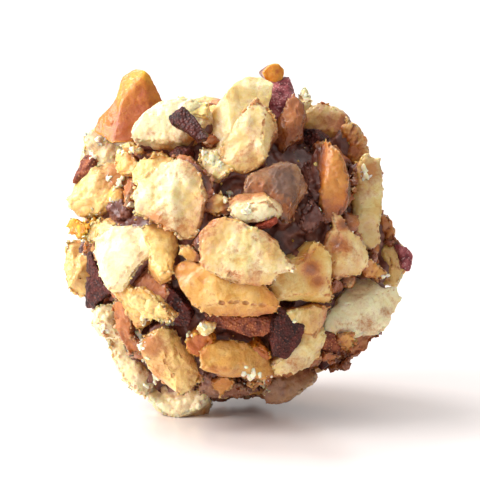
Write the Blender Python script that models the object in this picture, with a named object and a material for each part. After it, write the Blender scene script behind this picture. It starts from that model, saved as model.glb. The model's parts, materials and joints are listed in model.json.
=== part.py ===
"""A chocolate truffle rolled in broken nuts: a ball of soft chocolate with pieces of nut pressed in all over.

Metres, +Z up. The origin is on the surface that the truffle stands on, under the middle of the ball, and the
face with the most carefully laid nuts looks along -Y.
"""

import math
import random
from dataclasses import dataclass

import bmesh
import bpy
from mathutils import Matrix, Vector

MM = 0.001

# The driving dimensions, in millimetres.
BALL_RADIUS = 13.8  # the chocolate itself
SEAT_RADIUS = 14.6  # where the middle of a nut piece lies
BALL_HEIGHT = 16.0  # the ball's middle above the surface it stands on
PRESS_GAP = 0.3  # clearance between a nut and the chocolate or nut that it is pressed into
FRONT_RISE = 10.7  # degrees above level from which the front layout below is laid out

BREAK_SLOPE = 0.12  # how much a snapped side leans under the piece
BASE_SIZE = (9.0, 7.4, 4.2)  # the broad nut underneath
BASE_WORN = 0.4  # how much of its thickness is flattened where the truffle stands
MERGE = 0.02  # points that a cut leaves closer together than this become one

# How finely the solids are faceted.
BALL_SEGMENTS, BALL_RINGS = 20, 12
NUT_SEGMENTS, NUT_RINGS = 9, 6

# The nuts behind and underneath, which follow one rule instead of a layout.
REAR_NUTS = 17
REAR_TRIES = 400
REAR_SEED = 11
REAR_EDGE = -0.05  # the share of their direction towards the eye that is the most they may have
REAR_LENGTH, REAR_WIDTH, REAR_THICKNESS = (7.2, 9.6), (5.4, 7.0), (2.8, 4.0)
REAR_LIFT, REAR_SHARE, REAR_LEAN = (-0.2, 0.5), (0.55, 0.9), (-0.25, 0.25)

# The front layout's own directions: to the right, up, and towards the eye.
RISE = math.radians(FRONT_RISE)
RIGHT = Vector((1, 0, 0))
UP = Vector((0, math.sin(RISE), math.cos(RISE)))
NEAR = Vector((0, -math.cos(RISE), math.sin(RISE)))
BALL_MIDDLE = Vector((0, 0, BALL_HEIGHT))

FINISHES = {
    "ivory_nut": ((0.86, 0.74, 0.45), 0.45),
    "golden_nut": ((0.74, 0.47, 0.16), 0.42),
    "amber_nut": ((0.60, 0.25, 0.06), 0.32),
    "nut_skin": ((0.16, 0.03, 0.03), 0.35),
    "milk_chocolate": ((0.12, 0.035, 0.025), 0.25),
}


@dataclass
class Nut:
    """One broken piece, in millimetres. at is its place right of and above the ball's middle, as the front is
    seen, and size its length, width and thickness. turn is how far its length is turned up from level. Each
    break is (direction in the piece's plane, share of the half size that is left there). lift raises it off
    its seat, facing turns its broad side from straight outwards (0) to the eye (1), and bow is how far its
    ends bend aside. depth, where it is given, puts the piece that far towards the eye instead of on its seat.
    square and flat are the powers that square off its outline and its edge."""

    name: str
    finish: str
    at: tuple
    size: tuple
    turn: float
    breaks: tuple = ()
    lift: float = 0.0
    facing: float = 0.0
    bow: float = 0.0
    depth: float = None
    square: float = 0.8
    flat: float = 0.6


# Laid from the outermost piece inwards: a piece is hollowed where an earlier one lies over it.
FRONT = [
    Nut("shell_flake", "ivory_nut", (-6.3, 5.5), (8.2, 6.9, 2.8), -70,
        ((150, 0.9), (100, 0.92), (-35, 0.95), (35, 0.92)), lift=1.5, facing=0.3),
    Nut("middle_flake", "ivory_nut", (1.3, -0.2), (9.2, 6.2, 2.8), -22,
        ((60, 0.8), (-50, 0.88), (180, 0.93)), lift=1.6),
    Nut("left_block", "ivory_nut", (-10.7, -0.5), (6.3, 6.8, 3.8), 0,
        ((-37, 0.62), (200, 0.84), (88, 0.9)), lift=1.4, facing=0.4, square=0.7),
    Nut("standing_flake", "ivory_nut", (2.1, 11.5), (7.1, 4.5, 2.0), 64,
        ((35, 0.85), (140, 0.88), (-150, 0.9), (-80, 0.8)), lift=2.2, facing=0.6),
    Nut("red_edged_chip", "ivory_nut", (2.3, 3.7), (5.2, 2.6, 2.4), 6,
        ((30, 0.85), (140, 0.9), (-50, 0.85)), lift=1.2, square=0.7),
    Nut("long_slab", "golden_nut", (-0.5, -3.9), (10.6, 4.8, 4.0), -14,
        ((0, 0.95), (155, 0.9), (-60, 0.95)), lift=0.8, square=0.7),
    Nut("crescent", "golden_nut", (9.5, 7.1), (7.8, 2.6, 2.8), 98,
        ((-90, 0.9),), lift=1.2, square=0.95, bow=0.8),
    Nut("stained_plate", "ivory_nut", (7.1, -2.4), (6.8, 6.2, 2.8), -75,
        ((180, 0.85), (88, 0.88), (-60, 0.85)), lift=0.7, facing=0.2, square=0.75),
    Nut("right_flake", "ivory_nut", (11.2, -0.1), (7.2, 4.2, 2.4), 100,
        ((-65, 0.68), (66, 0.76), (170, 0.72)), lift=1.1, facing=0.35),
    Nut("dome", "ivory_nut", (0.5, 13.5), (8.2, 5.2, 4.0), 62,
        ((-130, 0.9),), lift=0.6, facing=0.4, square=0.95, flat=0.8),
    Nut("golden_spire", "amber_nut", (-10.4, 14.3), (8.8, 5.8, 3.4), 64,
        ((26, 0.87), (-34, 0.8), (87, 0.7), (-97, 0.88)), depth=1.0, facing=0.8, square=0.75),
    Nut("top_slab", "ivory_nut", (-6.0, 12.1), (8.0, 5.2, 4.4), 2,
        ((150, 0.82), (-15, 0.95), (60, 0.95)), lift=0.7, square=0.75),
    Nut("top_bead", "amber_nut", (3.9, 17.6), (2.4, 2.0, 2.2), 0,
        ((40, 0.9),), depth=0.4),
    Nut("purple_skin", "nut_skin", (4.6, 15.5), (4.8, 3.0, 1.6), 75,
        ((150, 0.85), (-40, 0.9)), depth=2.6, facing=0.5),
    Nut("amber_wedge", "amber_nut", (5.9, 12.7), (5.6, 3.2, 3.6), 66,
        ((180, 0.9), (60, 0.9)), lift=0.5, square=0.75),
    Nut("right_shoulder", "golden_nut", (9.7, 12.3), (5.2, 4.0, 3.8), -28,
        ((120, 0.95),), lift=0.2, square=0.9, flat=0.8),
    Nut("brown_rim", "amber_nut", (11.7, 10.1), (4.8, 3.6, 3.4), -60,
        ((100, 0.9), (-20, 0.9)), lift=0.1),
    Nut("right_long", "ivory_nut", (12.9, 4.9), (8.8, 3.0, 3.2), 92,
        ((12, 0.95), (-160, 0.9)), lift=0.2, facing=0.2),
    Nut("shaded_slab", "golden_nut", (4.6, 6.0), (6.2, 5.6, 2.6), -14,
        ((-30, 0.85), (-150, 0.8), (50, 0.92)), lift=-0.5, facing=0.2, square=0.7),
    Nut("right_low_slab", "ivory_nut", (12.9, -5.7), (8.2, 4.2, 3.8), 22,
        ((180, 0.9), (-125, 0.9)), lift=0.4, square=0.75),
    Nut("right_amber", "amber_nut", (15.8, -1.2), (4.6, 3.2, 3.2), 62,
        ((0, 0.9), (180, 0.9)), lift=0.3, square=0.7),
    Nut("right_tip_skin", "nut_skin", (17.2, -0.6), (2.4, 1.6, 1.2), -60, (), depth=0.6),
    Nut("right_brown", "amber_nut", (15.0, 2.0), (4.8, 2.8, 3.2), -66,
        ((180, 0.9),), lift=0.1),
    Nut("dotted_skin", "nut_skin", (4.7, -8.3), (5.0, 3.2, 1.4), -74,
        ((165, 0.9), (0, 0.95)), lift=1.1, facing=0.3),
    Nut("jagged_chip", "ivory_nut", (7.7, -6.7), (4.8, 3.6, 2.4), -4,
        ((-140, 0.75), (-55, 0.8), (60, 0.9)), lift=0.9, square=0.7),
    Nut("low_crescent", "ivory_nut", (6.3, -9.5), (7.2, 3.2, 3.2), 42,
        ((180, 0.95),), lift=0.6, square=0.9, bow=1.3),
    Nut("lower_slab", "golden_nut", (-0.2, -10.6), (7.0, 3.8, 3.6), -8,
        ((165, 0.9), (40, 0.9)), lift=0.6, square=0.7),
    Nut("golden_low", "golden_nut", (-5.9, -10.9), (7.8, 4.1, 3.6), -54,
        ((0, 0.92), (150, 0.9)), lift=1.0, square=0.75),
    Nut("ragged_flake", "golden_nut", (-8.9, -5.4), (6.4, 4.3, 2.6), -36,
        ((170, 0.9), (-40, 0.92)), lift=1.0),
    Nut("left_small_block", "golden_nut", (-6.9, 0.4), (5.2, 3.0, 3.4), 98,
        ((180, 0.9), (40, 0.95)), lift=0.5, square=0.7),
    Nut("left_bottom_long", "ivory_nut", (-9.9, -11.5), (8.6, 3.4, 3.4), -56,
        ((180, 0.95),), depth=1.0),
    Nut("left_low", "golden_nut", (-12.1, -6.6), (4.6, 3.4, 3.0), -52,
        ((180, 0.9), (30, 0.9)), lift=0.3),
    Nut("left_foot", "ivory_nut", (-5.4, -14.8), (6.0, 4.4, 3.6), 5,
        ((180, 0.9),), lift=0.3, square=0.75),
    Nut("left_rim_low", "golden_nut", (-14.8, -1.7), (6.6, 3.9, 3.4), 96,
        ((20, 0.95),), lift=0.2),
    Nut("left_shoulder", "ivory_nut", (-12.0, 10.0), (5.8, 4.2, 3.4), -22,
        ((160, 0.9), (30, 0.9)), lift=0.3),
    Nut("left_rim_high", "golden_nut", (-13.3, 5.9), (6.4, 5.0, 3.4), 48,
        ((-20, 0.95),), lift=0.3),
    Nut("pale_top", "ivory_nut", (-2.7, 14.6), (6.0, 4.6, 3.4), 10,
        ((60, 0.9),), depth=-1.5, square=0.75),
    Nut("top_back", "ivory_nut", (5.9, 14.2), (6.2, 4.8, 4.0), -32,
        ((120, 0.9),), depth=-2.4, square=0.75),
    Nut("lower_right_brown", "amber_nut", (11.2, -9.5), (5.6, 4.0, 3.4), 42,
        ((0, 0.9),), lift=0.2),
    Nut("low_front", "golden_nut", (-0.6, -13.6), (6.4, 4.0, 3.2), 4,
        ((180, 0.9),), lift=0.1),
    Nut("low_right", "golden_nut", (5.3, -13.2), (7.0, 4.0, 3.2), 22, (), lift=0.1),
]


def clear_scene():
    for thing in list(bpy.data.objects):
        bpy.data.objects.remove(thing)


def finish_material(name):
    """The finish's material, made the first time that it is asked for."""
    if name in bpy.data.materials:
        return bpy.data.materials[name]
    colour, roughness = FINISHES[name]
    material = bpy.data.materials.new(name)
    material.use_nodes = True
    shader = material.node_tree.nodes["Principled BSDF"]
    shader.inputs["Base Color"].default_value = (*colour, 1)
    shader.inputs["Roughness"].default_value = roughness
    shader.inputs["Metallic"].default_value = 0.0
    return material


def bent(value, power):
    """value drawn towards 1 by a power under 1, with its sign kept, which squares an ellipse off."""
    return math.copysign(abs(value) ** power, value)


def kernel(nut, grown):
    """The mesh of one piece in its own frame, length along X and thickness along Z: a flattened kernel with
    squared sides, snapped off flat at each break. grown adds to it all round, for the room it needs."""
    half = [side / 2 + grown for side in nut.size]
    mesh = bmesh.new()
    bmesh.ops.create_uvsphere(mesh, u_segments=NUT_SEGMENTS, v_segments=NUT_RINGS, radius=1)
    for vert in mesh.verts:
        level = math.hypot(vert.co.x, vert.co.y)
        around = math.atan2(vert.co.y, vert.co.x)
        reach = bent(level, nut.flat)
        vert.co.x = half[0] * reach * bent(math.cos(around), nut.square)
        vert.co.y = half[1] * reach * bent(math.sin(around), nut.square)
        vert.co.z = half[2] * bent(vert.co.z, nut.flat)
    for direction, share in nut.breaks:
        angle = math.radians(direction)
        facing = Vector((math.cos(angle), math.sin(angle), BREAK_SLOPE)).normalized()
        reach = math.hypot(nut.size[0] * facing.x, nut.size[1] * facing.y) / 2
        snap(mesh, facing * (share * reach + grown), facing)
    for vert in mesh.verts:
        vert.co.y += nut.bow * (vert.co.x / half[0]) ** 2
    return mesh


def snap(mesh, point, facing):
    """Cuts off what lies past the point, towards facing, and closes the broken face."""
    geometry = [*mesh.verts, *mesh.edges, *mesh.faces]
    bmesh.ops.bisect_plane(mesh, geom=geometry, dist=1e-5, plane_co=point, plane_no=facing, clear_outer=True)
    open_edges = [edge for edge in mesh.edges if edge.is_boundary]
    bmesh.ops.holes_fill(mesh, edges=open_edges)


def seat(nut):
    """Where the piece sits, as a matrix in millimetres."""
    across, above = nut.at
    span = (SEAT_RADIUS + nut.lift) ** 2 - across**2 - above**2
    depth = math.sqrt(max(span, 0)) if nut.depth is None else nut.depth
    place = RIGHT * across + UP * above + NEAR * depth
    outward = place.normalized()
    broad = outward.lerp(NEAR, nut.facing).normalized()
    turn = math.radians(nut.turn)
    along = RIGHT * math.cos(turn) + UP * math.sin(turn)
    return frame_at(BALL_MIDDLE + place, along, broad)


def frame_at(middle, along, broad):
    """A matrix with Z along broad, X as near to along as it can be, and its origin at middle."""
    across = broad.cross(along).normalized()
    length = across.cross(broad)
    turned = Matrix((length, across, broad)).transposed().to_4x4()
    return Matrix.Translation(middle) @ turned


def add_object(name, mesh, finish):
    """Links a bmesh as an object in metres, flat on the standing surface where it would reach below it."""
    snap(mesh, Vector((0, 0, 0)), Vector((0, 0, -1)))
    bmesh.ops.scale(mesh, vec=(MM, MM, MM), verts=mesh.verts)
    bmesh.ops.recalc_face_normals(mesh, faces=mesh.faces)
    data = bpy.data.meshes.new(name)
    mesh.to_mesh(data)
    mesh.free()
    thing = bpy.data.objects.new(name, data)
    data.materials.append(finish_material(finish))
    bpy.context.scene.collection.objects.link(thing)
    return thing


def box_of(thing):
    """Lowest and highest corner of a mesh object that sits at the origin."""
    corners = [vert.co for vert in thing.data.vertices]
    low = Vector(min(corner[axis] for corner in corners) for axis in range(3))
    high = Vector(max(corner[axis] for corner in corners) for axis in range(3))
    return low, high


def boxes_meet(one, other):
    (low, high), (other_low, other_high) = box_of(one), box_of(other)
    return all(low[i] < other_high[i] and other_low[i] < high[i] for i in range(3))


def keep_largest(mesh):
    """Leaves only the largest connected body of a bmesh, and drops the crumbs that cutting leaves."""
    waiting, bodies = set(mesh.verts), []
    while waiting:
        body, edge_of_body = set(), [waiting.pop()]
        while edge_of_body:
            vert = edge_of_body.pop()
            body.add(vert)
            found = {edge.other_vert(vert) for edge in vert.link_edges} & waiting
            waiting -= found
            edge_of_body.extend(found)
        bodies.append(body)
    bodies.sort(key=len)
    for body in bodies[:-1]:
        bmesh.ops.delete(mesh, geom=list(body), context="VERTS")


def hollow(thing, cutters):
    """Cuts each cutter from the object and applies the result as its mesh."""
    for cutter in cutters:
        cut = thing.modifiers.new("hollow for " + cutter.name, "BOOLEAN")
        cut.operation = "DIFFERENCE"
        cut.solver = "EXACT"
        cut.object = cutter
    bpy.context.view_layer.update()
    graph = bpy.context.evaluated_depsgraph_get()
    data = bpy.data.meshes.new_from_object(thing.evaluated_get(graph))
    mesh = bmesh.new()
    mesh.from_mesh(data)
    bmesh.ops.remove_doubles(mesh, verts=mesh.verts, dist=MERGE * MM)
    bmesh.ops.dissolve_degenerate(mesh, edges=mesh.edges, dist=MERGE * MM)
    keep_largest(mesh)
    mesh.to_mesh(data)
    mesh.free()
    thing.modifiers.clear()
    thing.data = data


def press(nut, matrix, cutters):
    """Makes a piece, hollowed by the ones that lie over it, and the cutter for those that it lies over."""
    solid = kernel(nut, 0.0)
    bmesh.ops.transform(solid, matrix=matrix, verts=solid.verts)
    thing = add_object(nut.name, solid, nut.finish)
    room = kernel(nut, PRESS_GAP)
    bmesh.ops.transform(room, matrix=matrix, verts=room.verts)
    cutter = add_object("room_for_" + nut.name, room, nut.finish)
    cutter.hide_render = True
    cutter.display_type = "WIRE"
    over = [earlier for earlier in cutters if boxes_meet(thing, earlier)]
    if over:
        hollow(thing, over)
    cutters.append(cutter)


def base_nut():
    """The broad piece underneath, whose flat face the truffle stands on."""
    return Nut("base_nut", "golden_nut", (0, 0), BASE_SIZE, 0, ((120, 0.85),), square=0.75)


def rear_nuts(taken):
    """The pieces that the layout leaves out, each in the widest gap that is left: (piece, matrix) pairs."""
    chance = random.Random(REAR_SEED)
    finishes = ("ivory_nut", "golden_nut", "ivory_nut", "amber_nut", "golden_nut")
    for number in range(REAR_NUTS):
        best, widest = None, -1.0
        for _ in range(REAR_TRIES):
            out = Vector(chance.gauss(0, 1) for _ in range(3)).normalized()
            gap = min(math.acos(max(-1, min(1, out.dot(other)))) for other in taken)
            if out.dot(NEAR) < REAR_EDGE and gap > widest:
                best, widest = out, gap
        taken.append(best)
        size = [chance.uniform(*REAR_LENGTH), chance.uniform(*REAR_WIDTH), chance.uniform(*REAR_THICKNESS)]
        breaks = [(chance.uniform(0, 360), chance.uniform(*REAR_SHARE)) for _ in range(chance.randint(2, 4))]
        piece = Nut(f"rear_nut_{number + 1:02d}", finishes[number % len(finishes)], (0, 0), size, 0,
                    breaks, square=chance.uniform(0.65, 0.95))
        along = Vector(chance.gauss(0, 1) for _ in range(3))
        middle = BALL_MIDDLE + best * (SEAT_RADIUS + chance.uniform(*REAR_LIFT))
        lean = Vector(chance.uniform(*REAR_LEAN) for _ in range(3))
        yield piece, frame_at(middle, along, (best + lean).normalized())


def chocolate_ball(cutters):
    """The ball of chocolate, with a hollow for every piece that is pressed into it."""
    mesh = bmesh.new()
    bmesh.ops.create_uvsphere(mesh, u_segments=BALL_SEGMENTS, v_segments=BALL_RINGS, radius=BALL_RADIUS)
    bmesh.ops.translate(mesh, vec=BALL_MIDDLE, verts=mesh.verts)
    ball = add_object("chocolate_ball", mesh, "milk_chocolate")
    hollow(ball, cutters)


def main():
    clear_scene()
    cutters, taken = [], []
    base = base_nut()
    middle = Vector((0, 0, base.size[2] / 2 - BASE_WORN))
    stand = frame_at(middle, Vector((1, 0.3, 0)), Vector((0, 0, -1)))
    press(base, stand, cutters)
    taken.append(Vector((0, 0, -1)))
    for nut in FRONT:
        matrix = seat(nut)
        taken.append((matrix.translation - BALL_MIDDLE).normalized())
        press(nut, matrix, cutters)
    for nut, matrix in rear_nuts(taken):
        press(nut, matrix, cutters)
    chocolate_ball(cutters)
    for cutter in cutters:
        bpy.data.objects.remove(cutter)


if __name__ == "__main__":
    main()
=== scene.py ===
# %% [markdown]
# # A chocolate truffle rolled in broken nuts
#
# A ball of soft chocolate is rolled in nuts that a knife has broken into slabs, flakes, wedges and crumbs.
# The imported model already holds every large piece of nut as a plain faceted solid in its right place. This
# lesson turns each of them into something that was grown, roasted and snapped, and lays the chocolate, the
# small chips, the papery skins and the crumbs around them. Distances are in metres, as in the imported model.

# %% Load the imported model
import json
import math
import random

import bpy
import numpy as np
from mathutils import Euler, Matrix, Vector
from mathutils.bvhtree import BVHTree


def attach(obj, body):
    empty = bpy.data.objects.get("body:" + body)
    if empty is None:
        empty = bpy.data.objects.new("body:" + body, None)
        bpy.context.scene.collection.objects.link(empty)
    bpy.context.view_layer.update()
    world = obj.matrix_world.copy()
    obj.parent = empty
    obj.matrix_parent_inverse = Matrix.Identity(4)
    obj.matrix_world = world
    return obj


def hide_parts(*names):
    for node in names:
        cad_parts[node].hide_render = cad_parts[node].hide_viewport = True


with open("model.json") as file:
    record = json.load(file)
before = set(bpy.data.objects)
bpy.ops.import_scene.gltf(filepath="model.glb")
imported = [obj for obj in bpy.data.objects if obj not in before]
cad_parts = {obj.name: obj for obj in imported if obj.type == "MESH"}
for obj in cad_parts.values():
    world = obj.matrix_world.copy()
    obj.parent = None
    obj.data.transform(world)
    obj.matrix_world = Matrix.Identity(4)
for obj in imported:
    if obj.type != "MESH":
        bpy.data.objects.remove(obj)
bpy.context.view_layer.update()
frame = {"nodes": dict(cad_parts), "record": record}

MM = 0.001
nodes = frame["nodes"]
finish_of = {row["node"]: row["material_slot"] for row in frame["record"]["subparts"]}

# %% [markdown]
# ## Where things are
#
# The front of the truffle is laid out as an eye 10.7 degrees above level sees it, so a piece is easiest to
# place by how far right of the ball's middle and how far above it the piece appears. Three directions turn
# such a pair of millimetres into a point: to the right, up, and towards the eye.

# %% Directions and sizes
RISE = math.radians(10.7)
RIGHT = Vector((1, 0, 0))
UP = Vector((0, math.sin(RISE), math.cos(RISE)))
NEAR = Vector((0, -math.cos(RISE), math.sin(RISE)))
BALL_MIDDLE = Vector((0, 0, 16 * MM))
BALL_RADIUS = 13.8 * MM


def in_view(across, above, towards=0.0):
    """The point that many millimetres right of, above and nearer than the ball's middle."""
    return BALL_MIDDLE + (RIGHT * across + UP * above + NEAR * towards) * MM


# %% [markdown]
# ## The camera
#
# A long lens half a metre away keeps the round shape undistorted. Its field is set from the height that it
# has to show at that distance, and it aims a touch to the right of the ball, where the shadow falls.

# %% The camera
EYE_DISTANCE = 0.5
FIELD_HEIGHT = 0.0496
camera_data = bpy.data.cameras.new("product camera")
camera_data.sensor_width = 36
camera_data.lens = camera_data.sensor_width * EYE_DISTANCE / FIELD_HEIGHT
camera_data.clip_start = 0.01
camera = bpy.data.objects.new("product camera", camera_data)
bpy.context.scene.collection.objects.link(camera)
aim = in_view(0.7, 0.3)
camera.location = aim + NEAR * EYE_DISTANCE
camera.rotation_euler = (-NEAR).to_track_quat("-Z", "Y").to_euler()
bpy.context.scene.camera = camera
print("lens", round(camera_data.lens), "mm")

# %% [markdown]
# ## Two helpers for materials
#
# Colours are easiest to compare as the hex values that a screen shows, and a shader wants linear light, so
# one function turns the first into the second. The other adds a node to a material, with its settings and
# with what goes into each of its sockets: a number, a colour, or another node's output.

# %% Colour and node helpers


def linear(hex_colour):
    """A screen's hex colour as the linear red, green, blue and alpha that a shader takes."""
    shares = [int(hex_colour[place:place + 2], 16) / 255 for place in (1, 3, 5)]
    return [*(c / 12.92 if c <= 0.04045 else ((c + 0.055) / 1.055) ** 2.4 for c in shares), 1.0]


def add_node(tree, kind, sockets=None, stops=(), **settings):
    """Adds a node. sockets maps an input's name or number to a value or an output, and stops are a ramp's."""
    made = tree.nodes.new(kind)
    for name, value in settings.items():
        setattr(made, name, value)
    for name, value in (sockets or {}).items():
        if isinstance(value, bpy.types.NodeSocket):
            tree.links.new(value, made.inputs[name])
        else:
            made.inputs[name].default_value = value
    for number, (place, colour) in enumerate(stops):
        ramp = made.color_ramp.elements
        stop = ramp[number] if number < 2 else ramp.new(place)
        stop.position = place
        stop.color = linear(colour)
    return made


def new_material(name):
    """A material with no nodes but the Object coordinates that its patterns read."""
    material = bpy.data.materials.new(name)
    material.use_nodes = True
    material.node_tree.nodes.clear()
    place = add_node(material.node_tree, "ShaderNodeTexCoord").outputs["Object"]
    return material, material.node_tree, place


def per_metre(size_in_mm):
    """The noise scale whose features are about that many millimetres across."""
    return 1 / (size_in_mm * MM)


# %% [markdown]
# ## Light for a pale sweet on white
#
# The room is white, and most of its light comes from above and from the left. So the world is bright that
# way and dim the other way, which leaves the gaps between the nuts dark. One large soft box stands to the
# left: it burns the left edges out to white and throws the shadow to the right. A second, weaker one above
# and behind puts the bright rim on the top pieces. The picture keeps its colours as they are, with no film
# curve over them, because such a curve would turn the white floor grey.

# %% Lights, world and picture settings
ROOM_DIM, ROOM_BRIGHT = 0.26, 1.22
BRIGHTEST_WAY = (-0.55, 0.2, 0.81)


def soft_box(name, azimuth, elevation, distance, side, power):
    """A square area light that far from the ball, aimed at it. Azimuth 0 is in front and 90 to the right."""
    data = bpy.data.lights.new(name, "AREA")
    data.size = side
    data.energy = power
    lamp = bpy.data.objects.new(name, data)
    bpy.context.scene.collection.objects.link(lamp)
    turn, tilt = math.radians(azimuth), math.radians(elevation)
    out = Vector((math.sin(turn) * math.cos(tilt), -math.cos(turn) * math.cos(tilt), math.sin(tilt)))
    lamp.location = BALL_MIDDLE + out * distance
    lamp.rotation_euler = (-out).to_track_quat("-Z", "Y").to_euler()


soft_box("key soft box", -70, 29, 0.45, 0.27, 2.2)
soft_box("rim soft box", -125, 55, 0.5, 0.2, 1.3)
world = bpy.data.worlds.new("white room")
bpy.context.scene.world = world
world.use_nodes = True
room = world.node_tree
way = add_node(room, "ShaderNodeTexCoord")
facing = add_node(room, "ShaderNodeVectorMath", {0: way.outputs["Generated"], 1: BRIGHTEST_WAY},
                  operation="DOT_PRODUCT")
level = add_node(room, "ShaderNodeMapRange", {"Value": facing.outputs["Value"], "From Min": -0.5,
                                              "From Max": 1.0, "To Min": ROOM_DIM, "To Max": ROOM_BRIGHT})
room.links.new(level.outputs[0], room.nodes["Background"].inputs["Strength"])
room.nodes["Background"].inputs["Color"].default_value = (1, 0.99, 0.98, 1)
bpy.context.scene.view_settings.view_transform = "Standard"
print("room light from", ROOM_DIM, "to", ROOM_BRIGHT, "and two soft boxes")

# %% [markdown]
# ## Nut flesh: blanched, roasted and caramel-coated kernel
#
# A kernel is oily and slightly translucent, so light soaks in and comes out warmer: that is subsurface
# scattering with red reaching furthest. Its colour is patchy from roasting, paler on raised broken edges,
# and brown where the soft chocolate has wetted it; the same brown is painted on as shade on its sides, in its
# hollows and towards the right. Four values stored on each mesh further down say where: one for how wetted
# or painted shaded a point is, `edge` for how sharp, one for how browned by the pan or painted shaded in a
# patch, and `tone`, which makes the whole nut lighter or darker.

# %% Nut flesh material


def nut_flesh(name, pale, body, deep, glaze_and_shade, shine, browned_and_shaded="#a85f20", frost_and_rim_light="#f8eecb"):
    """One roast of kernel, palest flesh to deepest, then the four colours of its glaze, which also paints
    shade.
    """
    material, tree, place = new_material(name)
    cloud = add_node(tree, "ShaderNodeTexNoise",
                     {"Vector": place, "Scale": per_metre(2.0), "Detail": 5, "Roughness": 0.62,
                      "Distortion": 0.9})
    grain = add_node(tree, "ShaderNodeTexNoise",
                     {"Vector": place, "Scale": per_metre(0.4), "Detail": 5, "Roughness": 0.75})
    kept = {key: add_node(tree, "ShaderNodeAttribute", attribute_name=key).outputs["Fac"]
            for key in ("tone", "edge", "glaze_and_shade", "toast_and_shade")}
    patch = add_node(tree, "ShaderNodeMath", {0: cloud.outputs["Fac"], 1: kept["tone"]}, operation="ADD")
    roast = add_node(tree, "ShaderNodeValToRGB", {"Fac": patch.outputs[0]},
                     stops=((0.32, deep), (0.5, body), (0.68, pale)))
    fleck = add_node(tree, "ShaderNodeValToRGB", {"Fac": grain.outputs["Fac"]},
                     stops=((0.34, "#dcb888"), (0.5, "#ffffff")))
    flecked = add_node(tree, "ShaderNodeMix", {0: 0.4, 6: roast.outputs["Color"], 7: fleck.outputs["Color"]},
                       data_type="RGBA", blend_type="MULTIPLY")
    # Each mask is broken up by the two noises, so that no patch ends in a smooth line.
    broken = add_node(tree, "ShaderNodeMath", {0: cloud.outputs["Fac"], 1: grain.outputs["Fac"]},
                      operation="ADD")
    ragged = add_node(tree, "ShaderNodeMath", {0: broken.outputs[0], 1: 1.0}, operation="SUBTRACT")

    def mask(value, low, high, most, breaking=0.9):
        mixed = add_node(tree, "ShaderNodeMath", {0: ragged.outputs[0], 1: breaking, 2: value},
                         operation="MULTIPLY_ADD")
        return add_node(tree, "ShaderNodeMapRange", {"Value": mixed.outputs[0], "From Min": low,
                                                     "From Max": high, "To Max": most}).outputs[0]

    def laid_over(under, share, colour):
        return add_node(tree, "ShaderNodeMix", {0: share, 6: under, 7: colour}, data_type="RGBA").outputs[2]

    # Browned patches from the pan, and a few patches of painted shade.
    colour = laid_over(flecked.outputs[2], mask(kept["toast_and_shade"], 0.2, 1.0, 0.9, 2.0), linear(browned_and_shaded))
    # Sharp edges are paler where the break frosted them; on the glowing kernel this is painted rim light.
    colour = laid_over(colour, mask(kept["edge"], 0.5, 1.2, 0.5), linear(frost_and_rim_light))
    # The brown film over the flesh is the chocolate's stain and also painted shade.
    depth = mask(kept["glaze_and_shade"], 0.0, 1.0, 1.0, 0.5)
    film = add_node(tree, "ShaderNodeValToRGB", {"Fac": depth},
                    stops=((0.12, glaze_and_shade[0]), (0.45, glaze_and_shade[1]), (0.7, glaze_and_shade[2]), (0.92, glaze_and_shade[3])))
    cover = add_node(tree, "ShaderNodeMapRange", {"Value": depth, "From Min": 0.08, "From Max": 0.5,
                                                  "To Max": 0.94})
    colour = laid_over(colour, cover.outputs[0], film.outputs["Color"])
    pits = add_node(tree, "ShaderNodeTexVoronoi", {"Vector": place, "Scale": per_metre(1.5)})
    picked = add_node(tree, "ShaderNodeSeparateColor", {"Color": pits.outputs["Color"]})
    size = add_node(tree, "ShaderNodeMapRange", {"Value": picked.outputs[0], "From Min": 0.5, "To Min": 0.0,
                                                 "To Max": 0.12})
    inside = add_node(tree, "ShaderNodeMath", {0: pits.outputs["Distance"], 1: size.outputs[0]},
                      operation="LESS_THAN")
    freckle = add_node(tree, "ShaderNodeMath", {0: inside.outputs[0], 1: 0.3}, operation="MULTIPLY")
    colour = laid_over(colour, freckle.outputs[0], linear("#9a5a2a"))
    gloss = add_node(tree, "ShaderNodeMapRange", {"Value": depth, "To Min": shine, "To Max": 0.24})
    bump = add_node(tree, "ShaderNodeBump", {"Height": grain.outputs["Fac"], "Strength": 0.7,
                                             "Distance": 0.12 * MM})
    fine = add_node(tree, "ShaderNodeTexNoise", {"Vector": place, "Scale": per_metre(0.15), "Detail": 2})
    fine_bump = add_node(tree, "ShaderNodeBump", {"Height": fine.outputs["Fac"], "Strength": 0.5,
                                                  "Distance": 0.05 * MM, "Normal": bump.outputs["Normal"]})
    shader = add_node(tree, "ShaderNodeBsdfPrincipled",
                      {"Base Color": colour, "Roughness": gloss.outputs[0], "IOR": 1.46,
                       "Subsurface Weight": 0.75, "Subsurface Radius": (1.0, 0.6, 0.2),
                       "Subsurface Scale": 0.5 * MM, "Coat Weight": 0.4, "Coat Roughness": 0.12,
                       "Normal": fine_bump.outputs["Normal"]})
    add_node(tree, "ShaderNodeOutputMaterial", {"Surface": shader.outputs[0]})
    return material


# %% [markdown]
# ## The kinds of nut
#
# Three roasts make most of the nuts: blanched, roasted and coated in caramel. A fourth is greyed by a film of
# chocolate, and by painted shade under the ball; a fifth has the glow of light shining through it painted on;
# and the sixth is the dust that the knife leaves.

# %% The kinds of nut
materials = {
    "ivory_nut": nut_flesh("blanched kernel", "#f2ecc4", "#e4d291", "#d6a956",
                           ("#dfa03e", "#bc6c2a", "#874627", "#582a20"), 0.36),
    "golden_nut": nut_flesh("roasted kernel", "#ecd088", "#dcaa52", "#c47e30",
                            ("#d48e32", "#b06022", "#7c3c20", "#52281d"), 0.33),
    "amber_nut": nut_flesh("caramel kernel", "#d4934a", "#b66f34", "#8a4e28",
                           ("#b0642c", "#8e4623", "#6a331d", "#4c261c"), 0.3),
}
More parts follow.
